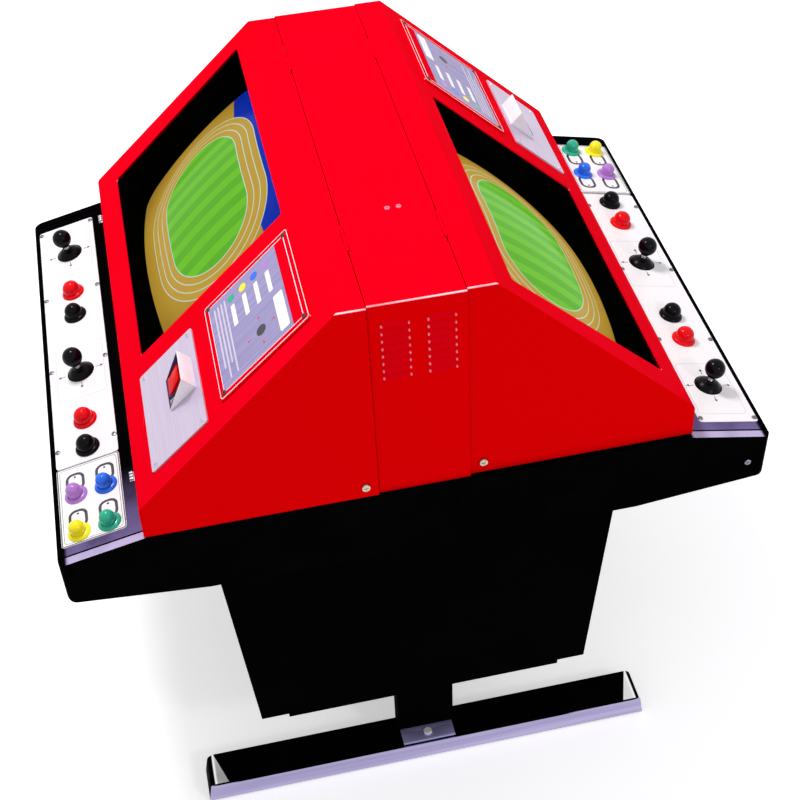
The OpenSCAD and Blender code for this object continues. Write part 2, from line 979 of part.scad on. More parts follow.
module switches() {
    color("#2d2f35")
        both()
            on_wing() {
                at_play_buttons() button_switch();
                translate([0, 0, select_t - plate_t]) at_select_buttons() button_switch();
                at_sticks() stick_switches();
            }
}

// Bracket under the plate: corner posts, a floor plate and two ears for the gimbal's trunnions
module stick_base() {
    half = stick_plate_w / 2;
    post = 8;
    ear_top = 4 - pivot_depth;
    floor_z = stick_plate_z + stick_plate_t;
    difference() {
        union() {
            block([-half, -half, stick_plate_z], [half, half, floor_z]);
            for (turn = [0:90:270])
                rotate([0, 0, turn]) block([half - post, half - post, floor_z - 1], [half, half, -plate_t]);
            for (turn = [0, 180])
                rotate([0, 0, turn])
                    block([-ear_w / 2, ear_y[0], floor_z - 1], [ear_w / 2, ear_y[1], ear_top]);
        }
        translate([0, 0, -pivot_depth]) y_cylinder(trunnion_r + running, -half, half);
    }
}

module stick_bases() {
    color("#2a2c30") both() on_wing() at_sticks() stick_base();
}

module gimbal(i) {
    color("#9a9ca4")
        on_wing()
            translate([row_x, stick_ys[i], -pivot_depth])
                difference() {
                    union() {
                        z_cylinder(gimbal_r, -gimbal_h / 2, gimbal_h / 2);
                        y_cylinder(trunnion_r, -trunnion_reach, trunnion_reach);
                    }
                    z_cylinder(gimbal_bore, -gimbal_h, gimbal_h);
                    x_cylinder(trunnion_r + running, -2 * gimbal_r, 2 * gimbal_r);
                }
}

// Steel shaft with its cross pin, a ball on top and a dust dome centred on the pivot
module stick(i) {
    ball_r = ball_d / 2;
    shaft_top = ball_z - 3;
    on_wing()
        translate([row_x, stick_ys[i], 0]) {
            color("#b9bac2") {
                z_cylinder(shaft_r, shaft_low, shaft_top);
                translate([0, 0, -pivot_depth]) x_cylinder(trunnion_r, -gimbal_r, gimbal_r);
            }
            color("#121214")
                difference() {
                    translate([0, 0, ball_z]) sphere(r = ball_r, $fn = 64);
                    z_cylinder(shaft_r + running, 0, shaft_top + running);
                }
            color("#17171a")
                translate([0, 0, -pivot_depth])
                    difference() {
                        sphere(r = dome_r, $fn = 96);
                        sphere(r = dome_r - dome_wall, $fn = 96);
                        block([-dome_r - 1, -dome_r - 1, -dome_r - 1], [dome_r + 1, dome_r + 1, dome_cut]);
                        z_cylinder(shaft_r + running, 0, 2 * dome_r);
                    }
        }
}

// Small fittings and inside equipment

module shell_keeper() {
    half = 9;
    from_wall = [3, 10];
    height = 5;
    block([from_wall[0], -half, 0], [from_wall[1], half, height]);
}

module foot_bolt() {
    head_r = 8;
    head_h = 5;
    shank_len = 18;
    translate([0, foot_y + (foot_d - post_d) / 2, foot_h + bracket_t]) {
        z_cylinder(foot_bolt_r, -shank_len, head_h / 2);
        cylinder(r = head_r, h = head_h, $fn = 6);
    }
}

// Cable gland in the pedestal's back wall
module cable_gland() {
    bore = 4.5;
    flange_r = 14;
    flange_h = 6;
    back = pedestal_len / 2;
    translate([gland_x, 0, gland_z])
        difference() {
            union() {
                y_cylinder(gland_r, back - pedestal_wall, back + 1);
                y_cylinder(flange_r, back, back + flange_h);
            }
            y_cylinder(bore, back - 2 * pedestal_wall, back + 2 * flange_h);
        }
}

module cabinet_fittings() {
    color("#c4c3cc") {
        both() {
            on_wing() {
                at_panel_screws() pan_screw(4, 1.8, panel_screw_r, 10);
                for (y = keeper_ys)
                    translate([0, y, 0]) shell_keeper();
            }
            edge_screw(0);
            foot_bolt();
        }
        at_top_screws() pan_screw(4, 1.6, top_screw_r, 8);
        cable_gland();
    }
}

module logic_board() {
    floor_z = pedestal_z + pedestal_wall;
    low = [-250, -290];
    size = [320, 240];
    board_z = floor_z + 12;
    board_t = 2;
    post_r = 4;
    post_inset = 12;
    chip = [34, 14, 6];
    chip_start = 30;
    chip_pitch = [46, 52];
    color("#1d6b3c") {
        block([low.x, low.y, board_z], [low.x + size.x, low.y + size.y, board_z + board_t]);
        for (x = [post_inset, size.x - post_inset])
            for (y = [post_inset, size.y - post_inset])
                translate([low.x + x, low.y + y, 0]) z_cylinder(post_r, floor_z, board_z + 1);
        for (i = [0:5])
            for (j = [0:3])
                translate([low.x + chip_start + i * chip_pitch.x, low.y + chip_start + j * chip_pitch.y, 0])
                    translate([0, 0, board_z + 1]) cube(chip);
    }
}

// Transformer and rectifier on a base plate
module power_supply() {
    floor_z = pedestal_z + pedestal_wall;
    low = [100, -290];
    base = [140, 200, 3];
    core = [90, 80, 85];
    coil = [110, 40, 70];
    core_at = [15, 15];
    coil_at = [5, 35];
    can_r = 18;
    can_h = 70;
    can_xs = [40, 85];
    can_y = 150;
    translate([low.x, low.y, floor_z])
        color("#6d7077") {
            cube(base);
            translate([core_at.x, core_at.y, base.z / 2]) cube(core);
            translate([coil_at.x, coil_at.y, base.z / 2]) cube(coil);
            for (x = can_xs)
                translate([x, can_y, 0]) z_cylinder(can_r, base.z / 2, can_h);
        }
}

// Round loudspeaker behind the louvres of each gable, on a plate between the posts
module speakers() {
    plate_y = -frame_y[0] - 8;
    board = 3;
    half = frame_x[0];
    cone_r = 35;
    magnet_r = 18;
    cone_h = 18;
    depth = 32;
    centre_z = table_h + louvre_low + louvre_pitch * louvre_rows / 2;
    color("#26282c")
        both()
            translate([0, plate_y, centre_z]) {
                block([-half, 0, -half], [half, board, half]);
                translate([0, board, 0])
                    rotate([-90, 0, 0])
                        rotate_extrude()
                            polygon([
                                [0, -1], [cone_r, -1], [cone_r, board],
                                [magnet_r, cone_h], [magnet_r, depth], [0, depth]
                            ]);
            }
}

// Open box that catches the coins
module cash_box() {
    floor_z = pedestal_z + pedestal_wall;
    low = [-130, 70];
    size = [260, 200, 130];
    wall = 2;
    color("#74777e")
        difference() {
            block([low.x, low.y, floor_z], [low.x + size.x, low.y + size.y, floor_z + size.z]);
            block([low.x + wall, low.y + wall, floor_z + wall],
                [low.x + size.x - wall, low.y + size.y - wall, floor_z + size.z + 1]);
        }
}

table_body();
pedestal();
leg_posts();
foot_bars();
foot_chrome();
centre_cover();
inner_frame();
hinge_pins();
monitor_tubes();
monitor_bezels();
control_plates();
select_plates();
button_housings();
switches();
stick_bases();
cabinet_fittings();
logic_board();
power_supply();
speakers();
cash_box();
left() shell();  // left_shell
left() window_pane();  // left_window_pane
left() card_cover();  // left_card_cover
left() coin_plate();  // left_coin_plate
left() coin_hood();  // left_coin_hood
left() coin_mech();  // left_coin_mech
left() shell_screws();  // left_shell_screws
left() coin_button();  // left_coin_button
right() shell();  // right_shell
right() window_pane();  // right_window_pane
right() card_cover();  // right_card_cover
right() coin_plate();  // right_coin_plate
right() coin_hood();  // right_coin_hood
right() coin_mech();  // right_coin_mech
right() shell_screws();  // right_shell_screws
right() coin_button();  // right_coin_button
left() stick(0);  // left_stick_1
left() gimbal(0);  // left_gimbal_1
left() stick(1);  // left_stick_2
left() gimbal(1);  // left_gimbal_2
right() stick(0);  // right_stick_1
right() gimbal(0);  // right_gimbal_1
right() stick(1);  // right_stick_2
right() gimbal(1);  // right_gimbal_2
left() red_button(0);  // left_red_button_1
left() red_button(1);  // left_red_button_2
left() black_button(0);  // left_black_button_1
left() black_button(1);  // left_black_button_2
right() red_button(0);  // right_red_button_1
right() red_button(1);  // right_red_button_2
right() black_button(0);  // right_black_button_1
right() black_button(1);  // right_black_button_2
left() select_button(1, 0, "#5b2a78");  // left_purple_select
left() select_button(0, 0, "#3c4fa0");  // left_blue_select
left() select_button(1, 1, "#c9b21e");  // left_yellow_select
left() select_button(0, 1, "#1f9a96");  // left_teal_select
right() select_button(1, 0, "#5b2a78");  // right_purple_select
right() select_button(0, 0, "#3c4fa0");  // right_blue_select
right() select_button(1, 1, "#c9b21e");  // right_yellow_select
right() select_button(0, 1, "#1f9a96");  // right_teal_select
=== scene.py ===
import math
import bpy
from mathutils import Matrix, Vector


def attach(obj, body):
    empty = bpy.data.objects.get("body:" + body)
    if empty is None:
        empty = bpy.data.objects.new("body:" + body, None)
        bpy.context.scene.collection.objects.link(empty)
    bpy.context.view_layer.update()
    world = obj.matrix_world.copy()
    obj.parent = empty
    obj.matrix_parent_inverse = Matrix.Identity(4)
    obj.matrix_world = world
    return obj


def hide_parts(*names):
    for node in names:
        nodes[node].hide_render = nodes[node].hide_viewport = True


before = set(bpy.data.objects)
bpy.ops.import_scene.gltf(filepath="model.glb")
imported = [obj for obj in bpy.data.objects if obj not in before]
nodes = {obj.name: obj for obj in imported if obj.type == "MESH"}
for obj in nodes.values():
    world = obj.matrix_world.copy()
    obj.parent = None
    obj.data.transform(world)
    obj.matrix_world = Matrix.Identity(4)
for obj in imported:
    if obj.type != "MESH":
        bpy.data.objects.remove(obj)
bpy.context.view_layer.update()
MM = 0.001

# Places of the right-hand side; the left-hand side is the same after half a turn about Z
TABLE_TOP = 0.731
SLOPE_ANGLE = math.atan2(276, 292)
WING_ANGLE = math.atan2(28, 124)
GABLE_ANGLE = math.atan2(18, 328)
right_slope = Matrix.Translation((0.400, 0, 0.783)) @ Matrix.Rotation(SLOPE_ANGLE, 4, "Y")
right_wing = Matrix.Translation((0.400, 0, TABLE_TOP)) @ Matrix.Rotation(WING_ANGLE, 4, "Y")
front_gable = Matrix.Translation((0, -0.397, TABLE_TOP)) @ Matrix.Rotation(-GABLE_ANGLE, 4, "X")
SIDES = {"right": Matrix.Identity(4), "left": Matrix.Rotation(math.pi, 4, "Z")}


def shift(x, y, z):
    return Matrix.Translation((x * MM, y * MM, z * MM))


# Camera and studio

def studio_camera():
    camera = bpy.data.objects.new("camera", bpy.data.cameras.new("camera"))
    bpy.context.scene.collection.objects.link(camera)
    camera.data.lens = 66.83
    camera.data.sensor_width = 36
    camera.matrix_world = Matrix((
        (0.97632, 0.17065, -0.13292, -0.2951),
        (-0.21404, 0.67330, -0.70771, -1.8009),
        (-0.03128, 0.71940, 0.69389, 2.2813),
        (0, 0, 0, 1),
    ))
    bpy.context.scene.camera = camera


def soft_lamp(name, place, aim, width, power):
    lamp = bpy.data.objects.new(name, bpy.data.lights.new(name, "AREA"))
    bpy.context.scene.collection.objects.link(lamp)
    lamp.data.shape = "DISK"
    lamp.data.size = width
    lamp.data.energy = power
    lamp.location = place
    lamp.rotation_euler = (Vector(aim) - Vector(place)).to_track_quat("-Z", "Y").to_euler()


def background_rays(tree):
    """One for the rays that show the background: straight to the camera, in a mirror or through glass."""
    rays = tree.nodes.new("ShaderNodeLightPath").outputs
    seen = math_node(tree, "MAXIMUM", rays["Is Camera Ray"], rays["Is Transmission Ray"])
    return math_node(tree, "MAXIMUM", seen, rays["Is Glossy Ray"])


def studio_world():
    world = bpy.data.worlds.new("studio")
    bpy.context.scene.world = world
    world.use_nodes = True
    tree = world.node_tree
    tree.nodes.clear()
    level = mixed(tree, background_rays(tree), shade(0.60, 0.59, 0.61), shade(1, 1, 1))
    sky = node(tree, "ShaderNodeBackground", {}, {"Color": level, "Strength": 1.0})
    out = tree.nodes.new("ShaderNodeOutputWorld")
    tree.links.new(sky.outputs[0], out.inputs[0])


def studio_floor():
    bpy.ops.object.select_all(action="DESELECT")
    bpy.ops.mesh.primitive_plane_add(size=40, location=(0, 0, 0))
    floor = bpy.context.object
    floor.name = "studio_floor"
    pale, tree, shader = finish("pale_floor", Roughness=0.9, **{"Specular IOR Level": 0.0})
    cloud = node(tree, "ShaderNodeTexNoise", {}, {"Scale": 6.0, "Detail": 3.0})
    tint = mixed(tree, cloud.outputs[0], shade(0.97, 0.97, 0.97), shade(1, 1, 1))
    tree.links.new(tint, shader.inputs["Base Color"])
    shader.inputs["Emission Color"].default_value = shade(1, 1, 1)
    glow = product(tree, background_rays(tree), 0.45)
    tree.links.new(glow, shader.inputs["Emission Strength"])
    floor.data.materials.append(pale)


# Shader helpers and shared effects

def node(tree, kind, settings=None, feeds=None):
    made = tree.nodes.new(kind)
    for name, value in (settings or {}).items():
        setattr(made, name, value)
    for key, value in (feeds or {}).items():
        if isinstance(value, bpy.types.NodeSocket):
            tree.links.new(value, made.inputs[key])
        else:
            made.inputs[key].default_value = value
    return made


def math_node(tree, operation, *values):
    return node(tree, "ShaderNodeMath", {"operation": operation}, dict(enumerate(values))).outputs[0]


def product(tree, first, second):
    return math_node(tree, "MULTIPLY", first, second)


def noise(tree, place, scale, detail, roughness=0.5):
    return node(tree, "ShaderNodeTexNoise", {},
                {"Vector": place, "Scale": scale, "Detail": detail, "Roughness": roughness}).outputs[0]


def sheen(tree, value, smooth, rough):
    """Roughness from a noise, which mostly runs from 0.3 to 0.7."""
    return node(tree, "ShaderNodeMapRange", {}, {0: value, 1: 0.3, 2: 0.7, 3: smooth, 4: rough}).outputs[0]


def smooth_step(tree, value, low, high):
    return node(tree, "ShaderNodeMapRange", {"interpolation_type": "SMOOTHSTEP"},
                {0: value, 1: low, 2: high}).outputs[0]


def mixed(tree, share, first, second):
    return node(tree, "ShaderNodeMix", {"data_type": "RGBA"}, {0: share, 6: first, 7: second}).outputs[2]


def finish(name, **plain):
    """New material with its plain shader values set on the shader's own sockets."""
    material = bpy.data.materials.new(name)
    material.use_nodes = True
    shader = material.node_tree.nodes["Principled BSDF"]
    for socket, value in plain.items():
        shader.inputs[socket].default_value = value
    return material, material.node_tree, shader


def object_place(tree):
    return tree.nodes.new("ShaderNodeTexCoord").outputs["Object"]


def new_effect(name, takes, gives):
    effect = bpy.data.node_groups.new(name, "ShaderNodeTree")
    for label, kind, value in takes:
        socket = effect.interface.new_socket(label, in_out="INPUT", socket_type=kind)
        if value is not None:
            socket.default_value = value
    for label, kind in gives:
        effect.interface.new_socket(label, in_out="OUTPUT", socket_type=kind)
    return effect, effect.nodes.new("NodeGroupInput").outputs, effect.nodes.new("NodeGroupOutput").inputs


VECTOR, COLOUR, FLOAT = "NodeSocketVector", "NodeSocketColor", "NodeSocketFloat"


def spray_effect():
    """Sprayed enamel: cloudy shade, orange peel and dust nibs."""
    effect, take, give = new_effect(
        "sprayed_enamel",
        [("Place", VECTOR, None), ("Colour", COLOUR, None), ("Shade", COLOUR, None), ("Cloud", FLOAT, 3.0),
         ("Peel", FLOAT, 450.0), ("Smooth", FLOAT, 0.2), ("Rough", FLOAT, 0.35)],
        [("Colour", COLOUR), ("Roughness", FLOAT), ("Height", FLOAT)])
    cloud = noise(effect, take["Place"], take["Cloud"], 5.0, 0.6)
    peel = noise(effect, take["Place"], take["Peel"], 1.0)
    nibs = node(effect, "ShaderNodeTexVoronoi", {}, {"Vector": take["Place"], "Scale": 90.0})
    nib = smooth_step(effect, nibs.outputs["Distance"], 0.07, 0.03)
    rub_and_sheen = noise(effect, take["Place"], 22.0, 6.0, 0.65)
    share = smooth_step(effect, cloud, 0.35, 0.75)
    effect.links.new(mixed(effect, share, take["Colour"], take["Shade"]), give["Colour"])
    effect.links.new(sheen(effect, rub_and_sheen, take["Smooth"], take["Rough"]), give["Roughness"])
    effect.links.new(math_node(effect, "MULTIPLY_ADD", nib, 0.6, peel), give["Height"])
    return effect


def grain_effect():
    """Moulded plastic or laminate: pebble grain and a little wear in the sheen."""
    effect, take, give = new_effect(
        "moulded_grain",
        [("Place", VECTOR, None), ("Colour", COLOUR, None), ("Worn", COLOUR, None), ("Grain", FLOAT, 500.0),
         ("Smooth", FLOAT, 0.3), ("Rough", FLOAT, 0.5)],
        [("Colour", COLOUR), ("Roughness", FLOAT), ("Height", FLOAT)])
    pebble = node(effect, "ShaderNodeTexVoronoi", {"feature": "SMOOTH_F1"},
                  {"Vector": take["Place"], "Scale": take["Grain"]})
    wear = noise(effect, take["Place"], 9.0, 7.0, 0.7)
    share = smooth_step(effect, wear, 0.4, 0.8)
    effect.links.new(mixed(effect, share, take["Colour"], take["Worn"]), give["Colour"])
    effect.links.new(sheen(effect, wear, take["Smooth"], take["Rough"]), give["Roughness"])
    effect.links.new(pebble.outputs["Distance"], give["Height"])
    return effect


def drawn_effect():
    """Brushed or plated metal: fine lines along one direction and cloudy sheen."""
    effect, take, give = new_effect(
        "drawn_metal",
        [("Place", VECTOR, None), ("Lines", VECTOR, (4, 600, 600)), ("Colour", COLOUR, None),
         ("Dark", COLOUR, None), ("Smooth", FLOAT, 0.2), ("Rough", FLOAT, 0.4)],
        [("Colour", COLOUR), ("Roughness", FLOAT), ("Height", FLOAT)])
    along = node(effect, "ShaderNodeVectorMath", {"operation": "MULTIPLY"},
                 {0: take["Place"], 1: take["Lines"]})
    lines = noise(effect, along.outputs[0], 1.0, 4.0)
    haze = noise(effect, take["Place"], 12.0, 4.0)
    share = smooth_step(effect, lines, 0.3, 0.7)
    effect.links.new(mixed(effect, share, take["Colour"], take["Dark"]), give["Colour"])
    streak = math_node(effect, "MULTIPLY_ADD", haze, 0.6, product(effect, lines, 0.4))
    effect.links.new(sheen(effect, streak, take["Smooth"], take["Rough"]), give["Roughness"])
    effect.links.new(lines, give["Height"])
    return effect


BUMP_DEPTH = 0.0002


def wired(tree, shader, effect, feeds, bump):
    """Colour, roughness and bump of a shader from one of the shared effects."""
    used = node(tree, "ShaderNodeGroup", {"node_tree": effect}, {"Place": object_place(tree), **feeds})
    tree.links.new(used.outputs["Colour"], shader.inputs["Base Color"])
    tree.links.new(used.outputs["Roughness"], shader.inputs["Roughness"])
    relief = node(tree, "ShaderNodeBump", {},
                  {"Height": used.outputs["Height"], "Strength": bump, "Distance": BUMP_DEPTH})
    tree.links.new(relief.outputs[0], shader.inputs["Normal"])
    return used.outputs["Colour"]


def dressed(name, effect, feeds, bump, **plain):
    """New material that takes its colour, roughness and bump from one of the shared effects."""
    material, tree, shader = finish(name, **plain)
    wired(tree, shader, effect, feeds, bump)
    return material


def facing(tree):
    normal = tree.nodes.new("ShaderNodeNewGeometry").outputs["Normal"]
    return node(tree, "ShaderNodeSeparateXYZ", {}, {0: normal}).outputs


enamel = spray_effect()
grain = grain_effect()
drawn = drawn_effect()


def shade(red, green, blue):
    return (red, green, blue, 1)


def red_finish():
    """Red enamel, with a painted highlight in pale pink along the rounded edges over the gables, and painted
    shade on the gables.
    """
    material, tree, shader = finish("red_enamel", IOR=1.012)
    coat = wired(tree, shader, enamel,
                 {"Colour": shade(0.83, 0.0003, 0.011), "Shade": shade(0.77, 0.0002, 0.007),
                  "Smooth": 0.3, "Rough": 0.45}, 0.1)
    face = facing(tree)
    aside = math_node(tree, "ABSOLUTE", face["Y"])
    # Painted highlight: a pale pink line on the rounded top edges, where the normal leans part way from up
    # towards the front or back, broken up by noise.
    edge = product(tree, smooth_step(tree, aside, 0.26, 0.36), smooth_step(tree, aside, 0.70, 0.60))
    edge = product(tree, edge, smooth_step(tree, face["Z"], 0.5, 0.6))
    rub_and_sheen = noise(tree, object_place(tree), 9.0, 5.0)
    edge = product(tree, edge, smooth_step(tree, rub_and_sheen, 0.25, 0.55))
    # Painted shade: the faces that look to the front or back, the gables, get a darker and less pink red.
    coat = mixed(tree, smooth_step(tree, aside, 0.75, 0.95), coat, shade(0.79, 0.0002, 0.0012))
    tree.links.new(mixed(tree, edge, coat, shade(0.95, 0.68, 0.72)), shader.inputs["Base Color"])
    return material


red_paint = red_finish()
# Pale pink enamel for the rounded louvre ends: a painted highlight at each end.
louvre_end_highlight = dressed(
    "louvre_end_painted_highlight", enamel,
    {"Colour": shade(0.95, 0.24, 0.30), "Shade": shade(0.90, 0.14, 0.20), "Smooth": 0.12, "Rough": 0.2}, 0.05)
# Red enamel for the two screws in the top of the centre cover, paler pink than the cover as a painted
# highlight.
screw_enamel_highlight = dressed(
    "screw_enamel_painted_highlight", enamel,
    {"Colour": shade(0.90, 0.20, 0.30), "Shade": shade(0.84, 0.12, 0.20), "Smooth": 0.3, "Rough": 0.4}, 0.05)
black_plate = dressed(
    "black_pedestal_coat", enamel,
    {"Colour": shade(0.0010, 0.0009, 0.0011), "Shade": shade(0.0018, 0.0016, 0.0019), "Peel": 700.0,
     "Smooth": 0.45, "Rough": 0.6}, 0.15, IOR=1.012)
grey_steel = dressed(
    "grey_frame_steel", drawn,
    {"Colour": shade(0.10, 0.105, 0.115), "Dark": shade(0.05, 0.052, 0.058), "Lines": (60, 60, 60),
     "Smooth": 0.35, "Rough": 0.6}, 0.15, Metallic=0.6)
chrome = dressed(
    "foot_chrome_plating", drawn,
    {"Colour": shade(0.46, 0.42, 0.64), "Dark": shade(0.37, 0.33, 0.54), "Lines": (3, 90, 90),
     "Smooth": 0.05, "Rough": 0.12}, 0.01, Metallic=1.0)
bracket_satin = dressed(
    "bracket_satin_plating", drawn,
    {"Colour": shade(0.40, 0.38, 0.66), "Dark": shade(0.30, 0.28, 0.54), "Lines": (4, 260, 260),
     "Smooth": 0.22, "Rough": 0.4}, 0.05, Metallic=0.5)
bright_screw = dressed(
    "bright_screw_zinc", drawn,
    {"Colour": shade(0.72, 0.71, 0.76), "Dark": shade(0.50, 0.49, 0.55), "Lines": (300, 300, 300),
     "Smooth": 0.22, "Rough": 0.42}, 0.1, Metallic=1.0)
bolt_zinc = dressed(
    "foot_bolt_zinc", drawn,
    {"Colour": shade(0.88, 0.86, 0.82), "Dark": shade(0.66, 0.64, 0.66), "Lines": (300, 300, 300),
     "Smooth": 0.2, "Rough": 0.4}, 0.1, Metallic=0.25)
gable_brass = dressed(
    "gable_bolt_plating", drawn,
    {"Colour": shade(0.62, 0.55, 0.42), "Dark": shade(0.34, 0.30, 0.24), "Lines": (300, 300, 300),
     "Smooth": 0.1, "Rough": 0.22}, 0.08, Metallic=1.0)
panel_zinc = dressed(
    "panel_screw_zinc", drawn,
    {"Colour": shade(0.36, 0.32, 0.38), "Dark": shade(0.16, 0.14, 0.18), "Lines": (300, 300, 300),
     "Smooth": 0.25, "Rough": 0.45}, 0.1, Metallic=0.9)
dark_screw = dressed(
    "dark_card_screw", drawn,
    {"Colour": shade(0.10, 0.09, 0.11), "Dark": shade(0.04, 0.04, 0.05), "Lines": (300, 300, 300),
     "Smooth": 0.25, "Rough": 0.45}, 0.1, Metallic=0.8)
coin_aluminium = dressed(
    "coin_plate_aluminium", drawn,
    {"Colour": shade(0.65, 0.56, 0.71), "Dark": shade(0.58, 0.50, 0.65), "Lines": (420, 9, 420),
     "Smooth": 0.34, "Rough": 0.5}, 0.06, Metallic=0.45)
card_face = dressed(
    "card_face_print", drawn,
    {"Colour": shade(0.35, 0.31, 0.54), "Dark": shade(0.28, 0.25, 0.46), "Lines": (5, 160, 5),
     "Smooth": 0.35, "Rough": 0.5}, 0.03, **{"Specular IOR Level": 0.2})
white_panel = dressed(
    "white_control_panel", grain,
    {"Colour": shade(0.90, 0.89, 0.90), "Worn": shade(0.86, 0.85, 0.87), "Grain": 900.0,
     "Smooth": 0.3, "Rough": 0.45}, 0.05)
white_plastic = dressed(
    "white_hood_plastic", grain,
    {"Colour": shade(0.90, 0.88, 0.91), "Worn": shade(0.84, 0.82, 0.86), "Grain": 700.0,
     "Smooth": 0.32, "Rough": 0.5}, 0.06)
black_surround = dressed(
    "black_screen_surround", grain,
    {"Colour": shade(0.0006, 0.0006, 0.0007), "Worn": shade(0.0010, 0.0010, 0.0012), "Grain": 420.0,
     "Smooth": 0.6, "Rough": 0.8}, 0.02, IOR=1.006)
# Dark purple for the inside of the coin hood's mouth and the frame in it: painted shade.
mouth_shade = dressed(
    "mouth_painted_shade", grain,
    {"Colour": shade(0.050, 0.028, 0.085), "Worn": shade(0.075, 0.045, 0.12), "Grain": 700.0,
     "Smooth": 0.45, "Rough": 0.6}, 0.05, **{"Specular IOR Level": 0.1})
switch_plastic = dressed(
    "dark_switch_plastic", grain,
    {"Colour": shade(0.030, 0.031, 0.036), "Worn": shade(0.05, 0.05, 0.055), "Grain": 600.0,
     "Smooth": 0.4, "Rough": 0.6}, 0.2)
dust_rubber = dressed(
    "black_dust_cap", grain,
    {"Colour": shade(0.002, 0.0016, 0.003), "Worn": shade(0.004, 0.003, 0.006), "Grain": 900.0,
     "Smooth": 0.2, "Rough": 0.35}, 0.05, **{"Specular IOR Level": 0.08})
ball_black = dressed(
    "black_stick_ball", grain,
    {"Colour": shade(0.002, 0.001, 0.003), "Worn": shade(0.004, 0.002, 0.005), "Grain": 300.0,
     "Smooth": 0.06, "Rough": 0.13}, 0.02, **{"Specular IOR Level": 0.1})
tube_glass = dressed(
    "grey_tube_glass", grain,
    {"Colour": shade(0.045, 0.05, 0.055), "Worn": shade(0.06, 0.065, 0.07), "Grain": 60.0,
     "Smooth": 0.12, "Rough": 0.25}, 0.02)
# Dark ink for the print, also used for painted shade along the edges of the select plates.
dark_ink_and_shade = dressed(
    "dark_print_ink_and_painted_shade", grain,
    {"Colour": shade(0.022, 0.018, 0.030), "Worn": shade(0.06, 0.05, 0.07), "Grain": 1500.0,
     "Smooth": 0.4, "Rough": 0.55}, 0.04)
ink_pale = dressed(
    "pale_print_ink", grain,
    {"Colour": shade(0.60, 0.55, 0.68), "Worn": shade(0.70, 0.66, 0.76), "Grain": 1500.0,
     "Smooth": 0.4, "Rough": 0.55}, 0.04)
# White ink for the print on the cards, also used for a painted highlight along the edge of each card cover.
white_ink_and_highlight = dressed(
    "white_print_ink_and_painted_highlight", grain,
    {"Colour": shade(0.92, 0.90, 0.93), "Worn": shade(0.85, 0.82, 0.87), "Grain": 1500.0,
     "Smooth": 0.35, "Rough": 0.5}, 0.04)


def button_plastic(name, colour, worn, gloss, glow=0.0):
    return dressed(
        name, grain, {"Colour": colour, "Worn": worn, "Grain": 350.0, "Smooth": 0.1, "Rough": 0.22}, 0.02,
        **{"Specular IOR Level": gloss, "Subsurface Weight": glow, "Subsurface Radius": (0.004, 0.004, 0.004)})


button_red = button_plastic(
    "red_button_plastic", shade(0.80, 0.002, 0.008), shade(0.74, 0.0015, 0.006), 0.12)
button_black = button_plastic(
    "black_button_plastic", shade(0.002, 0.0018, 0.003), shade(0.004, 0.0035, 0.005), 0.08)
select_purple = button_plastic(
    "purple_lens_plastic", shade(0.47, 0.21, 0.63), shade(0.38, 0.16, 0.54), 0.3, 0.3)
select_blue = button_plastic(
    "blue_lens_plastic", shade(0.014, 0.16, 0.86), shade(0.010, 0.11, 0.72), 0.3, 0.3)
select_yellow = button_plastic(
    "yellow_lens_plastic", shade(0.95, 0.86, 0.012), shade(0.90, 0.76, 0.010), 0.25, 0.3)
select_teal = button_plastic(
    "teal_lens_plastic", shade(0.014, 0.44, 0.27), shade(0.010, 0.34, 0.22), 0.3, 0.3)
coin_red = button_plastic(
    "red_coin_lens", shade(0.82, 0.0010, 0.004), shade(0.72, 0.0008, 0.003), 0.03)


def table_finish():
    """Black laminate, with a painted reflection on the top at the front end of each wing: a violet band, and a
    paler lavender band at the very end.
    """
    material, tree, shader = finish("black_table_laminate", IOR=1.014)
    laminate = wired(tree, shader, grain,
                     {"Colour": shade(0.0010, 0.0009, 0.0012), "Worn": shade(0.0020, 0.0017, 0.0024),
                      "Grain": 800.0, "Smooth": 0.35, "Rough": 0.5}, 0.04)
    top = smooth_step(tree, facing(tree)["Z"], 0.5, 0.9)
    place = node(tree, "ShaderNodeSeparateXYZ", {}, {0: object_place(tree)}).outputs
    near = product(tree, place["Y"], -1.0)
    aside = math_node(tree, "ABSOLUTE", place["X"])
    wing = product(tree, smooth_step(tree, aside, 0.397, 0.402), smooth_step(tree, aside, 0.514, 0.508))
    rub_and_sheen = noise(tree, object_place(tree), 14.0, 4.0)
    # Painted reflection on the top near the front end of each wing: a violet band, then a pale lavender band at
    # the very end, broken up by noise.
    reflection_band = product(tree, product(tree, top, wing), smooth_step(tree, rub_and_sheen, 0.0, 0.6))
    inner = product(tree, reflection_band, smooth_step(tree, near, 0.25, 0.40))
    outer = product(tree, reflection_band, smooth_step(tree, near, 0.388, 0.389))
    violet = mixed(tree, inner, laminate, shade(0.17, 0.13, 0.31))
    tree.links.new(mixed(tree, outer, violet, shade(0.50, 0.43, 0.66)), shader.inputs["Base Color"])
    return material


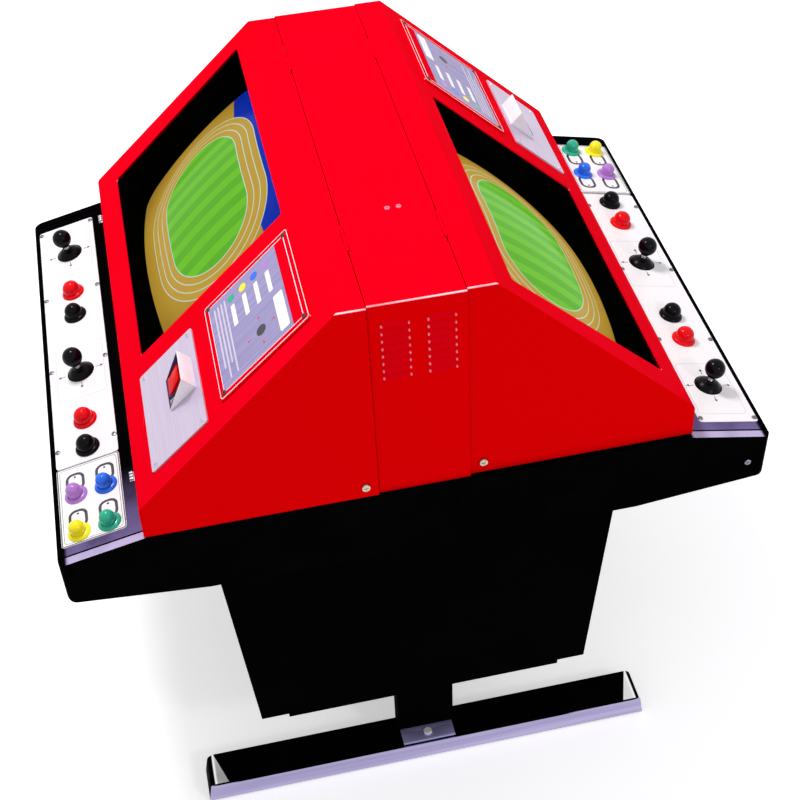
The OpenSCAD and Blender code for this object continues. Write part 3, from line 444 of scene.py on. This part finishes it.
def bar_finish():
    """Black foot bar; the top of the front one has a painted reflection, white and metallic, in a wedge at each
    end.
    """
    material, tree, shader = finish("black_foot_bar", IOR=1.014)
    black = wired(tree, shader, grain,
                  {"Colour": shade(0.0008, 0.0008, 0.0010), "Worn": shade(0.0014, 0.0013, 0.0018),
                   "Grain": 800.0, "Smooth": 0.3, "Rough": 0.5}, 0.04)
    place = node(tree, "ShaderNodeSeparateXYZ", {}, {0: object_place(tree)}).outputs
    inward = math_node(tree, "ADD", place["Y"], 0.372)
    start = math_node(tree, "MULTIPLY_ADD", inward, 0.345, 0.354)
    past = math_node(tree, "SUBTRACT", math_node(tree, "ABSOLUTE", place["X"]), start)
    # Painted reflection of the rounded ends: a white, metallic wedge on the top, wider towards the front.
    reflection_wedge = product(tree, smooth_step(tree, past, 0.0, 0.001), smooth_step(tree, facing(tree)["Z"], 0.90, 0.96))
    tree.links.new(mixed(tree, reflection_wedge, black, shade(0.95, 0.94, 0.93)), shader.inputs["Base Color"])
    tree.links.new(reflection_wedge, shader.inputs["Metallic"])
    return material


def pane_finish():
    """Clear window pane with a faint smoky tint."""
    material, tree, shader = finish("clear_window_pane", IOR=1.0003, **{"Transmission Weight": 1.0})
    smear = noise(tree, object_place(tree), 5.0, 5.0)
    tint = mixed(tree, smear, shade(0.99, 0.99, 0.99), shade(0.95, 0.95, 0.96))
    tree.links.new(tint, shader.inputs["Base Color"])
    tree.links.new(sheen(tree, smear, 0.0, 0.012), shader.inputs["Roughness"])
    return material


def board_finish():
    """Green circuit board with copper tracks."""
    material, tree, shader = finish("green_circuit_board", Metallic=0.0)
    place = object_place(tree)
    tracks = node(tree, "ShaderNodeTexBrick", {"offset": 0.5},
                  {"Vector": place, "Scale": 60.0, "Color1": shade(0.02, 0.16, 0.06),
                   "Color2": shade(0.03, 0.20, 0.08), "Mortar": shade(0.35, 0.26, 0.08), "Mortar Size": 0.06})
    chip = node(tree, "ShaderNodeSeparateXYZ", {}, {0: place})
    raised = smooth_step(tree, chip.outputs["Z"], 0.2012, 0.2016)
    coat = mixed(tree, raised, tracks.outputs[0], shade(0.02, 0.02, 0.022))
    tree.links.new(coat, shader.inputs["Base Color"])
    rub_and_sheen = noise(tree, place, 40.0, 4.0)
    level = node(tree, "ShaderNodeMapRange", {}, {0: rub_and_sheen, 3: 0.3, 4: 0.55})
    tree.links.new(level.outputs[0], shader.inputs["Roughness"])
    return material


SCREEN = (314, 434)


def screen_finish():
    """Lit picture: a mown green oval inside a sandy ring with lanes, on sand under a blue band."""
    material, tree, shader = finish("lit_screen_picture", Roughness=0.2,
                                    **{"Emission Strength": 1.0, "Specular IOR Level": 0.03})
    shader.inputs["Base Color"].default_value = shade(0.004, 0.005, 0.006)
    spread = tree.nodes.new("ShaderNodeTexCoord").outputs["UV"]
    spot = node(tree, "ShaderNodeSeparateXYZ", {}, {0: spread}).outputs
    across = product(tree, math_node(tree, "SUBTRACT", spot["Y"], 0.5), SCREEN[1] * MM)
    up = product(tree, math_node(tree, "SUBTRACT", 0.5, spot["X"]), SCREEN[0] * MM)
    beyond = math_node(tree, "SUBTRACT", math_node(tree, "ABSOLUTE", across), 0.058)
    beyond = math_node(tree, "MAXIMUM", beyond, 0.0)
    squares = math_node(tree, "ADD", product(tree, beyond, beyond), product(tree, up, up))
    reach = math_node(tree, "SQRT", squares)
    mown = math_node(tree, "PINGPONG", math_node(tree, "ADD", across, 1.0), 0.018)
    stripe = smooth_step(tree, mown, 0.0085, 0.0095)
    turf = mixed(tree, stripe, shade(0.16, 0.56, 0.02), shade(0.11, 0.46, 0.018))
    ring = mixed(tree, smooth_step(tree, reach, 0.084, 0.0848), turf, shade(0.55, 0.34, 0.04))
    lane = math_node(tree, "PINGPONG", math_node(tree, "SUBTRACT", reach, 0.085), 0.0065)
    on_track = product(tree, smooth_step(tree, reach, 0.0835, 0.0845),
                       smooth_step(tree, reach, 0.1255, 0.1245))
    line = product(tree, smooth_step(tree, lane, 0.0010, 0.0004), on_track)
    ring = mixed(tree, line, ring, shade(0.50, 0.80, 0.72))
    around = mixed(tree, smooth_step(tree, up, 0.088, 0.090),
                   shade(0.50, 0.30, 0.03), shade(0.003, 0.026, 0.44))
    picture = mixed(tree, smooth_step(tree, reach, 0.1245, 0.1255), ring, around)
    scan = math_node(tree, "SINE", product(tree, up, 5200.0))
    scan = math_node(tree, "MULTIPLY_ADD", scan, 0.05, 0.95)
    edge = smooth_step(tree, reach, 0.20, 0.11)
    dim = product(tree, scan, math_node(tree, "MULTIPLY_ADD", edge, 0.4, 0.6))
    lit = node(tree, "ShaderNodeVectorMath", {"operation": "SCALE"}, {0: picture, "Scale": dim})
    tree.links.new(lit.outputs[0], shader.inputs["Emission Color"])
    return material


table_black = table_finish()
bar_black = bar_finish()
window_clear = pane_finish()
circuit_green = board_finish()
screen_picture = screen_finish()


# Modelling helpers: sizes in millimetres, meshes in metres

MERGE = 0.00001
SMOOTH_ANGLE = math.radians(35)
QUARTER = math.pi / 2


def only(piece):
    bpy.ops.object.select_all(action="DESELECT")
    piece.select_set(True)
    bpy.context.view_layer.objects.active = piece


def open_mesh(piece):
    only(piece)
    bpy.ops.object.mode_set(mode="EDIT")
    bpy.ops.mesh.select_mode(type="VERT")
    bpy.ops.mesh.select_all(action="SELECT")


def close_mesh():
    bpy.ops.mesh.select_all(action="SELECT")
    bpy.ops.mesh.remove_doubles(threshold=MERGE)
    bpy.ops.mesh.normals_make_consistent(inside=False)
    bpy.ops.object.mode_set(mode="OBJECT")
    bpy.ops.object.shade_smooth_by_angle(angle=SMOOTH_ANGLE)


def extruded(height):
    bpy.ops.mesh.extrude_region_move(TRANSFORM_OT_translate={"value": (0, 0, height * MM)})


def modified(piece, kind, **settings):
    only(piece)
    modifier = piece.modifiers.new(kind.lower(), kind)
    for name, value in settings.items():
        setattr(modifier, name, value)
    bpy.ops.object.modifier_apply(modifier=modifier.name)


def bevelled(piece, width, segments=2):
    modified(piece, "BEVEL", width=width * MM, segments=segments, limit_method="ANGLE",
             angle_limit=math.radians(40))
    only(piece)
    bpy.ops.object.shade_smooth_by_angle(angle=SMOOTH_ANGLE)
    return piece


def turned(profile, sides=48, ring=False):
    """Turned body about Z, walked along a profile of radius and height. A ring closes on itself."""
    radius, height = profile[0]
    bpy.ops.object.select_all(action="DESELECT")
    bpy.ops.mesh.primitive_circle_add(vertices=sides, radius=radius * MM, location=(0, 0, height * MM),
                                      fill_type="NOTHING" if ring else "NGON")
    piece = bpy.context.object
    bpy.ops.object.transform_apply()
    open_mesh(piece)
    for next_radius, next_height in profile[1:] + (profile[:1] if ring else []):
        next_radius = max(next_radius, 0.002)
        extruded(next_height - height)
        share = next_radius / radius
        bpy.ops.transform.resize(value=(share, share, 1), center_override=(0, 0, next_height * MM))
        radius, height = next_radius, next_height
    close_mesh()
    return piece


def flat_start(low, high, lift, corner):
    """Flat face between two corners, its own corners rounded, open in edit mode."""
    bpy.ops.object.select_all(action="DESELECT")
    middle = ((low[0] + high[0]) / 2 * MM, (low[1] + high[1]) / 2 * MM, lift * MM)
    bpy.ops.mesh.primitive_plane_add(size=1, location=middle)
    piece = bpy.context.object
    piece.scale = ((high[0] - low[0]) * MM, (high[1] - low[1]) * MM, 1)
    bpy.ops.object.transform_apply()
    open_mesh(piece)
    if corner:
        bpy.ops.mesh.bevel(offset=corner * MM, segments=8, affect="VERTICES")
    bpy.ops.mesh.select_all(action="SELECT")
    return piece


def plate(low, high, thick, lift=0.0, corner=0.0):
    piece = flat_start(low, high, lift, corner)
    extruded(thick)
    close_mesh()
    return piece


def border(low, high, wide, thick, lift=0.0, corner=0.0):
    piece = flat_start(low, high, lift, corner)
    bpy.ops.mesh.select_mode(type="FACE")
    bpy.ops.mesh.inset(thickness=wide * MM)
    bpy.ops.mesh.delete(type="FACE")
    bpy.ops.mesh.select_all(action="SELECT")
    extruded(thick)
    close_mesh()
    return piece


def copied(master, at):
    piece = bpy.data.objects.new(master.name, master.data.copy())
    bpy.context.scene.collection.objects.link(piece)
    piece.matrix_world = at
    only(piece)
    bpy.ops.object.transform_apply()
    return piece


def moved(piece, at):
    piece.matrix_world = at
    only(piece)
    bpy.ops.object.transform_apply()
    return piece


def gathered(pieces):
    bpy.ops.object.select_all(action="DESELECT")
    for piece in pieces:
        piece.select_set(True)
    bpy.context.view_layer.objects.active = pieces[0]
    bpy.ops.object.join()
    return pieces[0]


def scrapped(*masters):
    for master in masters:
        bpy.data.objects.remove(master)


def painted(piece, material):
    piece.data.materials.clear()
    piece.data.materials.append(material)
    return piece


def fitted(piece, name, body, stands_for=()):
    piece.name = name
    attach(piece, body)
    if stands_for:
        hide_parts(*stands_for)
    return piece


def softened(name, width, material, segments=2):
    """Merged copy of a CAD solid with softened edges."""
    piece = bpy.data.objects.new(name, nodes[name].data.copy())
    bpy.context.scene.collection.objects.link(piece)
    only(piece)
    bpy.ops.mesh.customdata_custom_splitnormals_clear()
    open_mesh(piece)
    bpy.ops.mesh.remove_doubles(threshold=MERGE)
    bpy.ops.mesh.dissolve_limited(angle_limit=math.radians(1))
    bpy.ops.object.mode_set(mode="OBJECT")
    bevelled(piece, width, segments)
    return painted(piece, material)


# Sticks

PLAY_X = 68
STICK_YS = {"1": -288, "2": 19}
PIVOT_DEPTH = 13


def stick_ball():
    bpy.ops.object.select_all(action="DESELECT")
    bpy.ops.mesh.primitive_uv_sphere_add(segments=48, ring_count=24, radius=15.5 * MM,
                                         location=(0, 0, 33.5 * MM))
    ball = bpy.context.object
    bpy.ops.object.transform_apply()
    open_mesh(ball)
    bpy.ops.mesh.bisect(plane_co=(0, 0, 19.6 * MM), plane_no=(0, 0, -1), clear_outer=True, use_fill=True)
    extruded(-1.6)
    close_mesh()
    return painted(ball, ball_black)


def stick_shaft():
    shaft = turned([(3.9, -28), (4.75, -27.2), (4.75, -25), (4.1, -25), (4.1, -24), (4.75, -24), (4.75, 12),
                    (4.2, 12.6), (4.2, 30)])
    pin = moved(turned([(2, -12), (2, 12)], 24), shift(0, 0, -PIVOT_DEPTH) @ Matrix.Rotation(QUARTER, 4, "Y"))
    return painted(gathered([shaft, pin]), bright_screw)


def round_point(radius, degrees):
    """Radius and height on a ball about the stick's pivot, which lies below the plate."""
    angle = math.radians(degrees)
    return radius * math.sin(angle), radius * math.cos(angle) - PIVOT_DEPTH


def stick_dome():
    outside = [round_point(24, degrees) for degrees in range(75, 18, -4)]
    inside = [round_point(21, degrees) for degrees in range(17, 74, 4)]
    collar = [(7.2, 10.4), (6.8, 12.2), (6.2, 12.6), (4.9, 12.6)]
    return painted(turned(outside + collar + [(4.9, 7.5)] + inside, 64, ring=True), dust_rubber)


def sticks():
    parts = {"ball": stick_ball(), "shaft": stick_shaft(), "dust_cap": stick_dome()}
    for side, turn in SIDES.items():
        for number, y in STICK_YS.items():
            body = f"{side}_stick_{number}"
            for part, master in parts.items():
                piece = copied(master, turn @ right_wing @ shift(PLAY_X, y, 0))
                fitted(piece, f"{body}_{part}", body, (body,))
    scrapped(*parts.values())


# Buttons

def dome(radius, edge, bulge, steps):
    ball = (radius * radius + bulge * bulge) / (2 * bulge)
    points = []
    for i in range(steps, -1, -1):
        x = radius * i / steps
        points.append((x, edge + bulge - ball + math.sqrt(ball * ball - x * x)))
    return points


def tall_cap(radius, top):
    bulge = 0.8 * radius
    stem = [(4, -23.5), (4, -17.1), (radius + 0.7, -17.1), (radius + 0.7, -14.1), (radius, -14.1),
            (radius, top - bulge - 1)]
    return turned(stem + dome(radius - 0.1, top - bulge, bulge, 14))


def flared_rim(bore, edge, high):
    """Rim that falls from the bore to a thin edge, with its barrel below the plate."""
    drop = edge - bore
    return turned([(bore, -14), (bore, high - 0.5), (bore + 0.5, high), (bore + 0.35 * drop, high - 0.3),
                   (bore + 0.7 * drop, high - 1.3), (edge - 0.4, high - 2.4), (edge, high - 3.2), (edge, 0.4),
                   (edge - 0.4, 0), (bore + 2.3, 0), (bore + 2.3, -28), (bore + 0.9, -28), (bore + 0.9, -14)],
                  ring=True)


PLAY = {"red_button_1": (-179.5, button_red, "button_red"), "red_button_2": (129.5, button_red, "button_red"),
        "black_button_1": (-120.5, button_black, "button_black"),
        "black_button_2": (189, button_black, "button_black")}
SELECT = {"purple_select": (91.5, 278, select_purple), "blue_select": (46, 278, select_blue),
          "yellow_select": (91.5, 351, select_yellow), "teal_select": (46, 351, select_teal)}


def buttons():
    cap, rim = tall_cap(14.15, 23), flared_rim(14.25, 18.75, 5)
    lens, low_rim = tall_cap(11.25, 22), flared_rim(11.35, 17.25, 4)
    for side, turn in SIDES.items():
        for name, (y, colour, slot) in PLAY.items():
            at = turn @ right_wing @ shift(PLAY_X, y, 0)
            body = f"{side}_{name}"
            fitted(painted(copied(cap, at), colour), f"{body}_cap", body, (body,))
            fitted(painted(copied(rim, at), colour), f"{body}_rim", "cabinet", ("button_housings",))
        for name, (x, y, colour) in SELECT.items():
            at = turn @ right_wing @ shift(x, y, 1)
            body = f"{side}_{name}"
            slot = "select_" + name.split("_")[0]
            fitted(painted(copied(lens, at), colour), f"{body}_cap", body, (body,))
            fitted(painted(copied(low_rim, at), colour), f"{body}_rim", "cabinet", ("button_housings",))
    scrapped(cap, rim, lens, low_rim)


# Print on the control plates, and painted shade along the select plates' edges

INK = 0.12


def arrow():
    bpy.ops.object.select_all(action="DESELECT")
    bpy.ops.mesh.primitive_circle_add(vertices=3, radius=3.2 * MM, location=(0, 34 * MM, 0), fill_type="NGON")
    head = bpy.context.object
    bpy.ops.object.transform_apply()
    open_mesh(head)
    extruded(INK)
    close_mesh()
    return gathered([head, plate((-0.5, 25), (0.5, 33), INK)])


def stick_marks():
    mark = arrow()
    marks = [copied(mark, shift(PLAY_X, y, 0) @ Matrix.Rotation(QUARTER * i, 4, "Z"))
             for y in STICK_YS.values() for i in range(4)]
    scrapped(mark)
    return painted(gathered(marks), dark_ink_and_shade)


def select_marks():
    # The wide outer line along the select plate's edge is painted shade for the gap between the plates; the
    # thin inner line is print.
    lines = [border((22.6, 218.6), (118.4, 370.4), 1.5, INK, 1, 4.4),
             border((26.5, 222.5), (114.5, 366.5), 0.6, INK, 1, 6)]
    for x, y, _ in SELECT.values():
        lines.append(border((x - 14.5, y - 44), (x + 14.5, y - 8), 4.4, INK, 1, 12))
        lines.append(moved(turned([(1.8, 0), (1.8, INK)], 16), shift(x, y - 36, 1)))
    return painted(gathered(lines), dark_ink_and_shade)


def pale_boxes():
    lines = [border((29, -352), (108, -238), 0.7, 0.1, 0, 8), border((29, -45), (108, 78), 0.7, 0.1, 0, 8)]
    return painted(gathered(lines), ink_pale)


def panel_print():
    prints = {"stick_marks": (stick_marks(), "button_rim"), "select_marks": (select_marks(), "button_rim"),
              "panel_lines": (pale_boxes(), "select_panel")}
    for side, turn in SIDES.items():
        for name, (master, slot) in prints.items():
            fitted(copied(master, turn @ right_wing), f"{side}_{name}", "cabinet")
    scrapped(*[master for master, _ in prints.values()])


# Screws, keepers and bolts

def cross_cut(piece, width, length, depth, top):
    for size in ((width, length), (length, width)):
        bpy.ops.object.select_all(action="DESELECT")
        bpy.ops.mesh.primitive_cube_add(size=1, location=(0, 0, top * MM))
        cutter = bpy.context.object
        cutter.scale = (size[0] * MM, size[1] * MM, 2 * depth * MM)
        bpy.ops.object.transform_apply()
        modified(piece, "BOOLEAN", operation="DIFFERENCE", object=cutter)
        scrapped(cutter)
    return piece


def pan_screw(head, height, shank, length):
    screw = turned([(shank, -length), (shank, 0), (head, 0), (head, 0.4 * height),
                    (0.9 * head, 0.75 * height), (0.6 * head, height), (0, height)], 24)
    return cross_cut(screw, 0.24 * head, 1.25 * head, 0.5 * height, height)


SHELL_SLIDE = 4


def shell_screw_sets():
    card_screw, coin_screw = pan_screw(3.6, 2, 1.6, 9), pan_screw(3.2, 1.6, 1.6, 8)
    bolt = turned([(3.5, -12), (3.5, 0), (6.5, 0), (6.5, 2.6), (5.8, 3.6), (4.6, 4), (0, 4)], 32)
    cross_cut(bolt, 1.3, 7, 1.5, 4)
    for side, turn in SIDES.items():
        slope = turn @ right_slope
        dark = [copied(card_screw, slope @ shift(-s, y, 4)) for s in (198, 358) for y in (169, 343)]
        bright = [copied(coin_screw, slope @ shift(-s, y, 2.5)) for s in (49, 148) for y in (174, 351)]
        out = Matrix.Rotation(QUARTER, 4, "X")
        bolts = [copied(bolt, turn @ shift(0, SHELL_SLIDE, 0) @ end @ front_gable @ shift(x, 0, 20) @ out)
                 for end, x in ((SIDES["right"], 86), (SIDES["left"], -86))]
        sets = {"card_screws": (dark, dark_screw), "coin_screws": (bright, bright_screw),
                "gable_bolts": (bolts, gable_brass)}
        for name, (pieces, material) in sets.items():
            fitted(painted(gathered(pieces), material), f"{side}_{name}", f"{side}_shell",
                   (f"{side}_shell_screws",))
    scrapped(card_screw, coin_screw, bolt)


def keeper():
    base = bevelled(plate((3, -9), (10, 9), 1.6), 0.4)
    ribs = [bevelled(plate((3.6, y - 1.6), (9.4, y + 1.6), 5), 0.7) for y in (-6, 0, 6)]
    return gathered([base] + ribs)


def hex_bolt():
    shank = turned([(4, -18), (4, 0.5)], 24)
    head = turned([(8, 0), (8, 4.2), (7.2, 5), (0, 5)], 6)
    bpy.ops.object.shade_flat()
    return gathered([bevelled(head, 0.4), shank])


def gland():
    """Cord gland: a ring with a flange outside the pedestal's back."""
    return turned([(4.5, -15), (9, -15), (9, 0), (14, 0), (14, 2.4), (12.6, 3), (11, 5.4), (10, 6), (4.5, 6)],
                  40, ring=True)


def cabinet_fittings():
    panel_screw = pan_screw(4, 1.8, 1.9, 10)
    top_screw = pan_screw(4, 1.6, 1.9, 8)
    clip, foot_bolt = keeper(), hex_bolt()
    edge_screw = turned([(2.4, -9), (2.4, 0), (5, 0), (5, 1.4), (4.2, 2.2), (2.5, 2.5), (0, 2.5)], 32)
    cross_cut(edge_screw, 1.1, 6, 1, 2.5)
    toe = Matrix.Translation((0, -0.357, 0.050))
    end = Matrix.Translation((0.492, -0.402, 0.657)) @ Matrix.Rotation(QUARTER, 4, "X")
    turns = SIDES.values()
    on_plates = [copied(panel_screw, turn @ right_wing @ shift(x, y, 0))
                 for turn in turns for x in (26, 115) for y in (-361, -180, 0, 180)]
    beside_shells = [copied(clip, turn @ right_wing @ shift(0, y, 0)) for turn in turns for y in (280, -351)]
    sets = {
        "panel_screws": (panel_zinc, on_plates),
        "shell_keepers": (bright_screw, beside_shells),
        "ridge_screws": (screw_enamel_highlight, [copied(top_screw, shift(x, -180, 1059)) for x in (3, 19)]),
        "foot_bolts": (bolt_zinc, [copied(foot_bolt, turn @ toe) for turn in turns]),
        "wing_end_screws": (panel_zinc, [copied(edge_screw, turn @ end) for turn in turns]),
    }
    for name, (material, pieces) in sets.items():
        fitted(painted(gathered(pieces), material), name, "cabinet", ("cabinet_fittings",))
    exit_ring = moved(gland(), Matrix.Translation((0.180, 0.347, 0.240)) @ Matrix.Rotation(-QUARTER, 4, "X"))
    painted(exit_ring, switch_plastic)
    fitted(exit_ring, "cable_gland", "cabinet", ("cabinet_fittings",))
    scrapped(panel_screw, top_screw, clip, foot_bolt, edge_screw)


# Cards and coin plates

CARD_INK = 0.15
CARD_TOP = 4.5


def card_print():
    """Key on the card: coloured spots beside blank bars, and a round pointer with four arrows."""
    prints = []
    spots = [select_purple, select_blue, select_yellow, select_teal]
    for i, colour in enumerate(spots):
        s = 316 - i * 24
        prints.append(painted(moved(turned([(7, 0), (7, CARD_INK)], 32), shift(-s, 190, CARD_TOP)), colour))
        prints.append(painted(plate((-s - 4, 204), (-s + 4, 248), CARD_INK, CARD_TOP, 2), white_ink_and_highlight))
    prints.append(painted(plate((-334, 262), (-316, 334), CARD_INK, CARD_TOP, 3), white_ink_and_highlight))
    pointer = shift(-284, 298, CARD_TOP)
    prints.append(painted(moved(turned([(9, 0), (9, CARD_INK)], 32), pointer), dark_ink_and_shade))
    mark = arrow()
    for i in range(4):
        at = pointer @ Matrix.Rotation(QUARTER * i, 4, "Z") @ Matrix.Scale(0.75, 4)
        prints.append(painted(copied(mark, at), button_red))
    scrapped(mark)
    for i in range(4):
        s, end = -232 + i * 7, 330 - 24 * (i % 2)
        prints.append(painted(plate((s, 182), (s + 3, end), CARD_INK, CARD_TOP), ink_pale))
    return gathered(prints)


def cards():
    cover = painted(bevelled(plate((-367, 160), (-189, 352), 4, 0, 5), 0.6), red_paint)
    face = painted(plate((-339, 170), (-199, 342), 0.3, 4.2, 2), card_face)
    # The outer white line, along the edge of the cover, is a painted highlight; the inner one is a white line
    # on the card.
    lines = painted(gathered([border((-366, 161), (-190, 351), 1.0, CARD_INK, 4, 4.5),
                              border((-358.2, 168.8), (-197.8, 343.2), 1.2, 0.3, 4, 3)]), white_ink_and_highlight)
    spots = card_print()
    parts = {"card_cover_sheet": (cover, "red_paint"), "card_face": (face, "card_plastic"),
             "card_lines": (lines, "card_plastic"), "card_print": (spots, "card_plastic")}
    for side, turn in SIDES.items():
        for name, (master, slot) in parts.items():
            fitted(copied(master, turn @ right_slope), f"{side}_{name}", f"{side}_shell",
                   (f"{side}_card_cover",))
    scrapped(cover, face, lines, spots)


MOUTH = ((-146.6, -94.5), (225.4, 282.6), (5.2, 27.3))


def shade_inside_mouth(hood, slope):
    """The floor and inner walls of the hood's mouth in dark purple, a painted shade."""
    hood.data.materials.append(mouth_shade)
    back = slope.inverted()
    for face in hood.data.polygons:
        at = back @ face.center / MM
        if all(low < value < high for value, (low, high) in zip(at, MOUTH)):
            face.material_index = 1


def coin_sets():
    # The frame round the lens sits inside the mouth and takes the same painted shade.
    rim = painted(bevelled(border((-135.2, 227.2), (-96.8, 264.8), 2.2, 2, 5.5, 1), 0.4), mouth_shade)
    for side, turn in SIDES.items():
        shell = f"{side}_shell"
        hood = softened(f"{side}_coin_hood", 0.5, white_plastic)
        shade_inside_mouth(hood, turn @ right_slope)
        fitted(hood, f"{side}_coin_hood_moulding", shell, (f"{side}_coin_hood",))
        fitted(copied(rim, turn @ right_slope), f"{side}_coin_frame", shell,
               (f"{side}_coin_hood",))
        lens = softened(f"{side}_coin_button", 0.8, coin_red)
        fitted(lens, f"{side}_coin_lens", f"{side}_coin_button", (f"{side}_coin_button",))
    scrapped(rim)


# Screens

TUBE_RADIUS = 900


def screens():
    """Lit faces, 0.3 mm in front of the curved tubes."""
    bpy.ops.object.select_all(action="DESELECT")
    bpy.ops.mesh.primitive_grid_add(x_subdivisions=32, y_subdivisions=40, size=1, calc_uvs=True)
    face = bpy.context.object
    face.scale = (SCREEN[0] * MM, SCREEN[1] * MM, 1)
    bpy.ops.object.transform_apply()
    open_mesh(face)
    bpy.ops.transform.translate(value=(0, 0, TUBE_RADIUS * MM))
    bpy.ops.object.mode_set(mode="OBJECT")
    modified(face, "CAST", cast_type="SPHERE", factor=1.0, size=(TUBE_RADIUS + 0.3) * MM)
    bpy.ops.object.shade_smooth()
    painted(face, screen_picture)
    for side, turn in SIDES.items():
        piece = copied(face, turn @ right_slope @ shift(-204.5, -110, -936))
        fitted(piece, f"{side}_screen_face", "cabinet")
    scrapped(face)


# Louvres and feet

LOUVRE_XS = (-49.5, -13, 13, 49.5)
LOUVRE_LOW, LOUVRE_PITCH, LOUVRE_ROWS = 208.6, 12.4, 8


def louvre_ends():
    """Rounded ends of the pressed louvres on both gables, paler pink than the gables as a painted highlight."""
    bpy.ops.object.select_all(action="DESELECT")
    bpy.ops.mesh.primitive_uv_sphere_add(segments=16, ring_count=8, radius=2.2 * MM)
    end = bpy.context.object
    open_mesh(end)
    bpy.ops.transform.resize(value=(0.8, 1.2, 1.1))
    bpy.ops.mesh.bisect(plane_co=(0, 2 * MM, 0), plane_no=(0, 1, 0), clear_outer=True, use_fill=True)
    close_mesh()
    ends = [copied(end, turn @ front_gable @ shift(x, -1.6, LOUVRE_LOW + LOUVRE_PITCH * row))
            for turn in SIDES.values() for x in LOUVRE_XS for row in range(LOUVRE_ROWS)]
    scrapped(end)
    fitted(painted(gathered(ends), louvre_end_highlight), "louvre_ends", "cabinet")


BOLT_PLATE_LOW, BOLT_PLATE_HALF = 46, 47


def feet():
    """Foot bars and their bright strips, with the plates under the bolts in a duller finish."""
    fitted(softened("foot_bars", 2.5, bar_black, 3), "foot_bar_skin", "cabinet", ("foot_bars",))
    strips = softened("foot_chrome", 0.8, chrome)
    strips.data.materials.append(bracket_satin)
    for face in strips.data.polygons:
        if face.center.z > BOLT_PLATE_LOW * MM and abs(face.center.x) < BOLT_PLATE_HALF * MM:
            face.material_index = 1
    fitted(strips, "foot_strips", "cabinet", ("foot_chrome",))


# CAD solids that keep their shape and get their finish

FINISHES = {
    "table_body": table_black, "pedestal": black_plate, "leg_posts": black_plate, "foot_bars": bar_black,
    "foot_chrome": chrome, "centre_cover": red_paint, "inner_frame": grey_steel, "hinge_pins": bright_screw,
    "monitor_tubes": tube_glass, "monitor_bezels": black_surround, "control_plates": white_panel,
    "select_plates": white_panel, "button_housings": switch_plastic, "switches": switch_plastic,
    "stick_bases": grey_steel, "cabinet_fittings": bright_screw, "logic_board": circuit_green,
    "power_supply": grey_steel, "speakers": switch_plastic, "cash_box": grey_steel,
    "shell": red_paint, "window_pane": window_clear, "card_cover": card_face, "coin_plate": coin_aluminium,
    "coin_hood": white_plastic, "coin_mech": bright_screw, "shell_screws": bright_screw,
    "coin_button": coin_red, "gimbal": bright_screw, "stick": ball_black, "red_button": button_red,
    "black_button": button_black,
    "purple_select": select_purple, "blue_select": select_blue, "yellow_select": select_yellow,
    "teal_select": select_teal,
}


def dress_solids():
    """Each solid by its name without the side and the number."""
    for name, solid in nodes.items():
        plain = name
        for end in ("left_", "right_"):
            plain = plain.removeprefix(end)
        for end in ("_1", "_2"):
            plain = plain.removesuffix(end)
        painted(solid, FINISHES[plain])


studio_camera()
studio_world()
studio_floor()
soft_lamp("overhead", place=(-0.7, 0.8, 3.4), aim=(0, 0, 0.8), width=0.7, power=56)
soft_lamp("window", place=(1.5, -2.6, 2.4), aim=(0, 0, 0.7), width=0.45, power=15)
dress_solids()
sticks()
buttons()
panel_print()
shell_screw_sets()
cabinet_fittings()
cards()
coin_sets()
screens()
louvre_ends()
feet()

bpy.context.scene.view_settings.view_transform = "Standard"
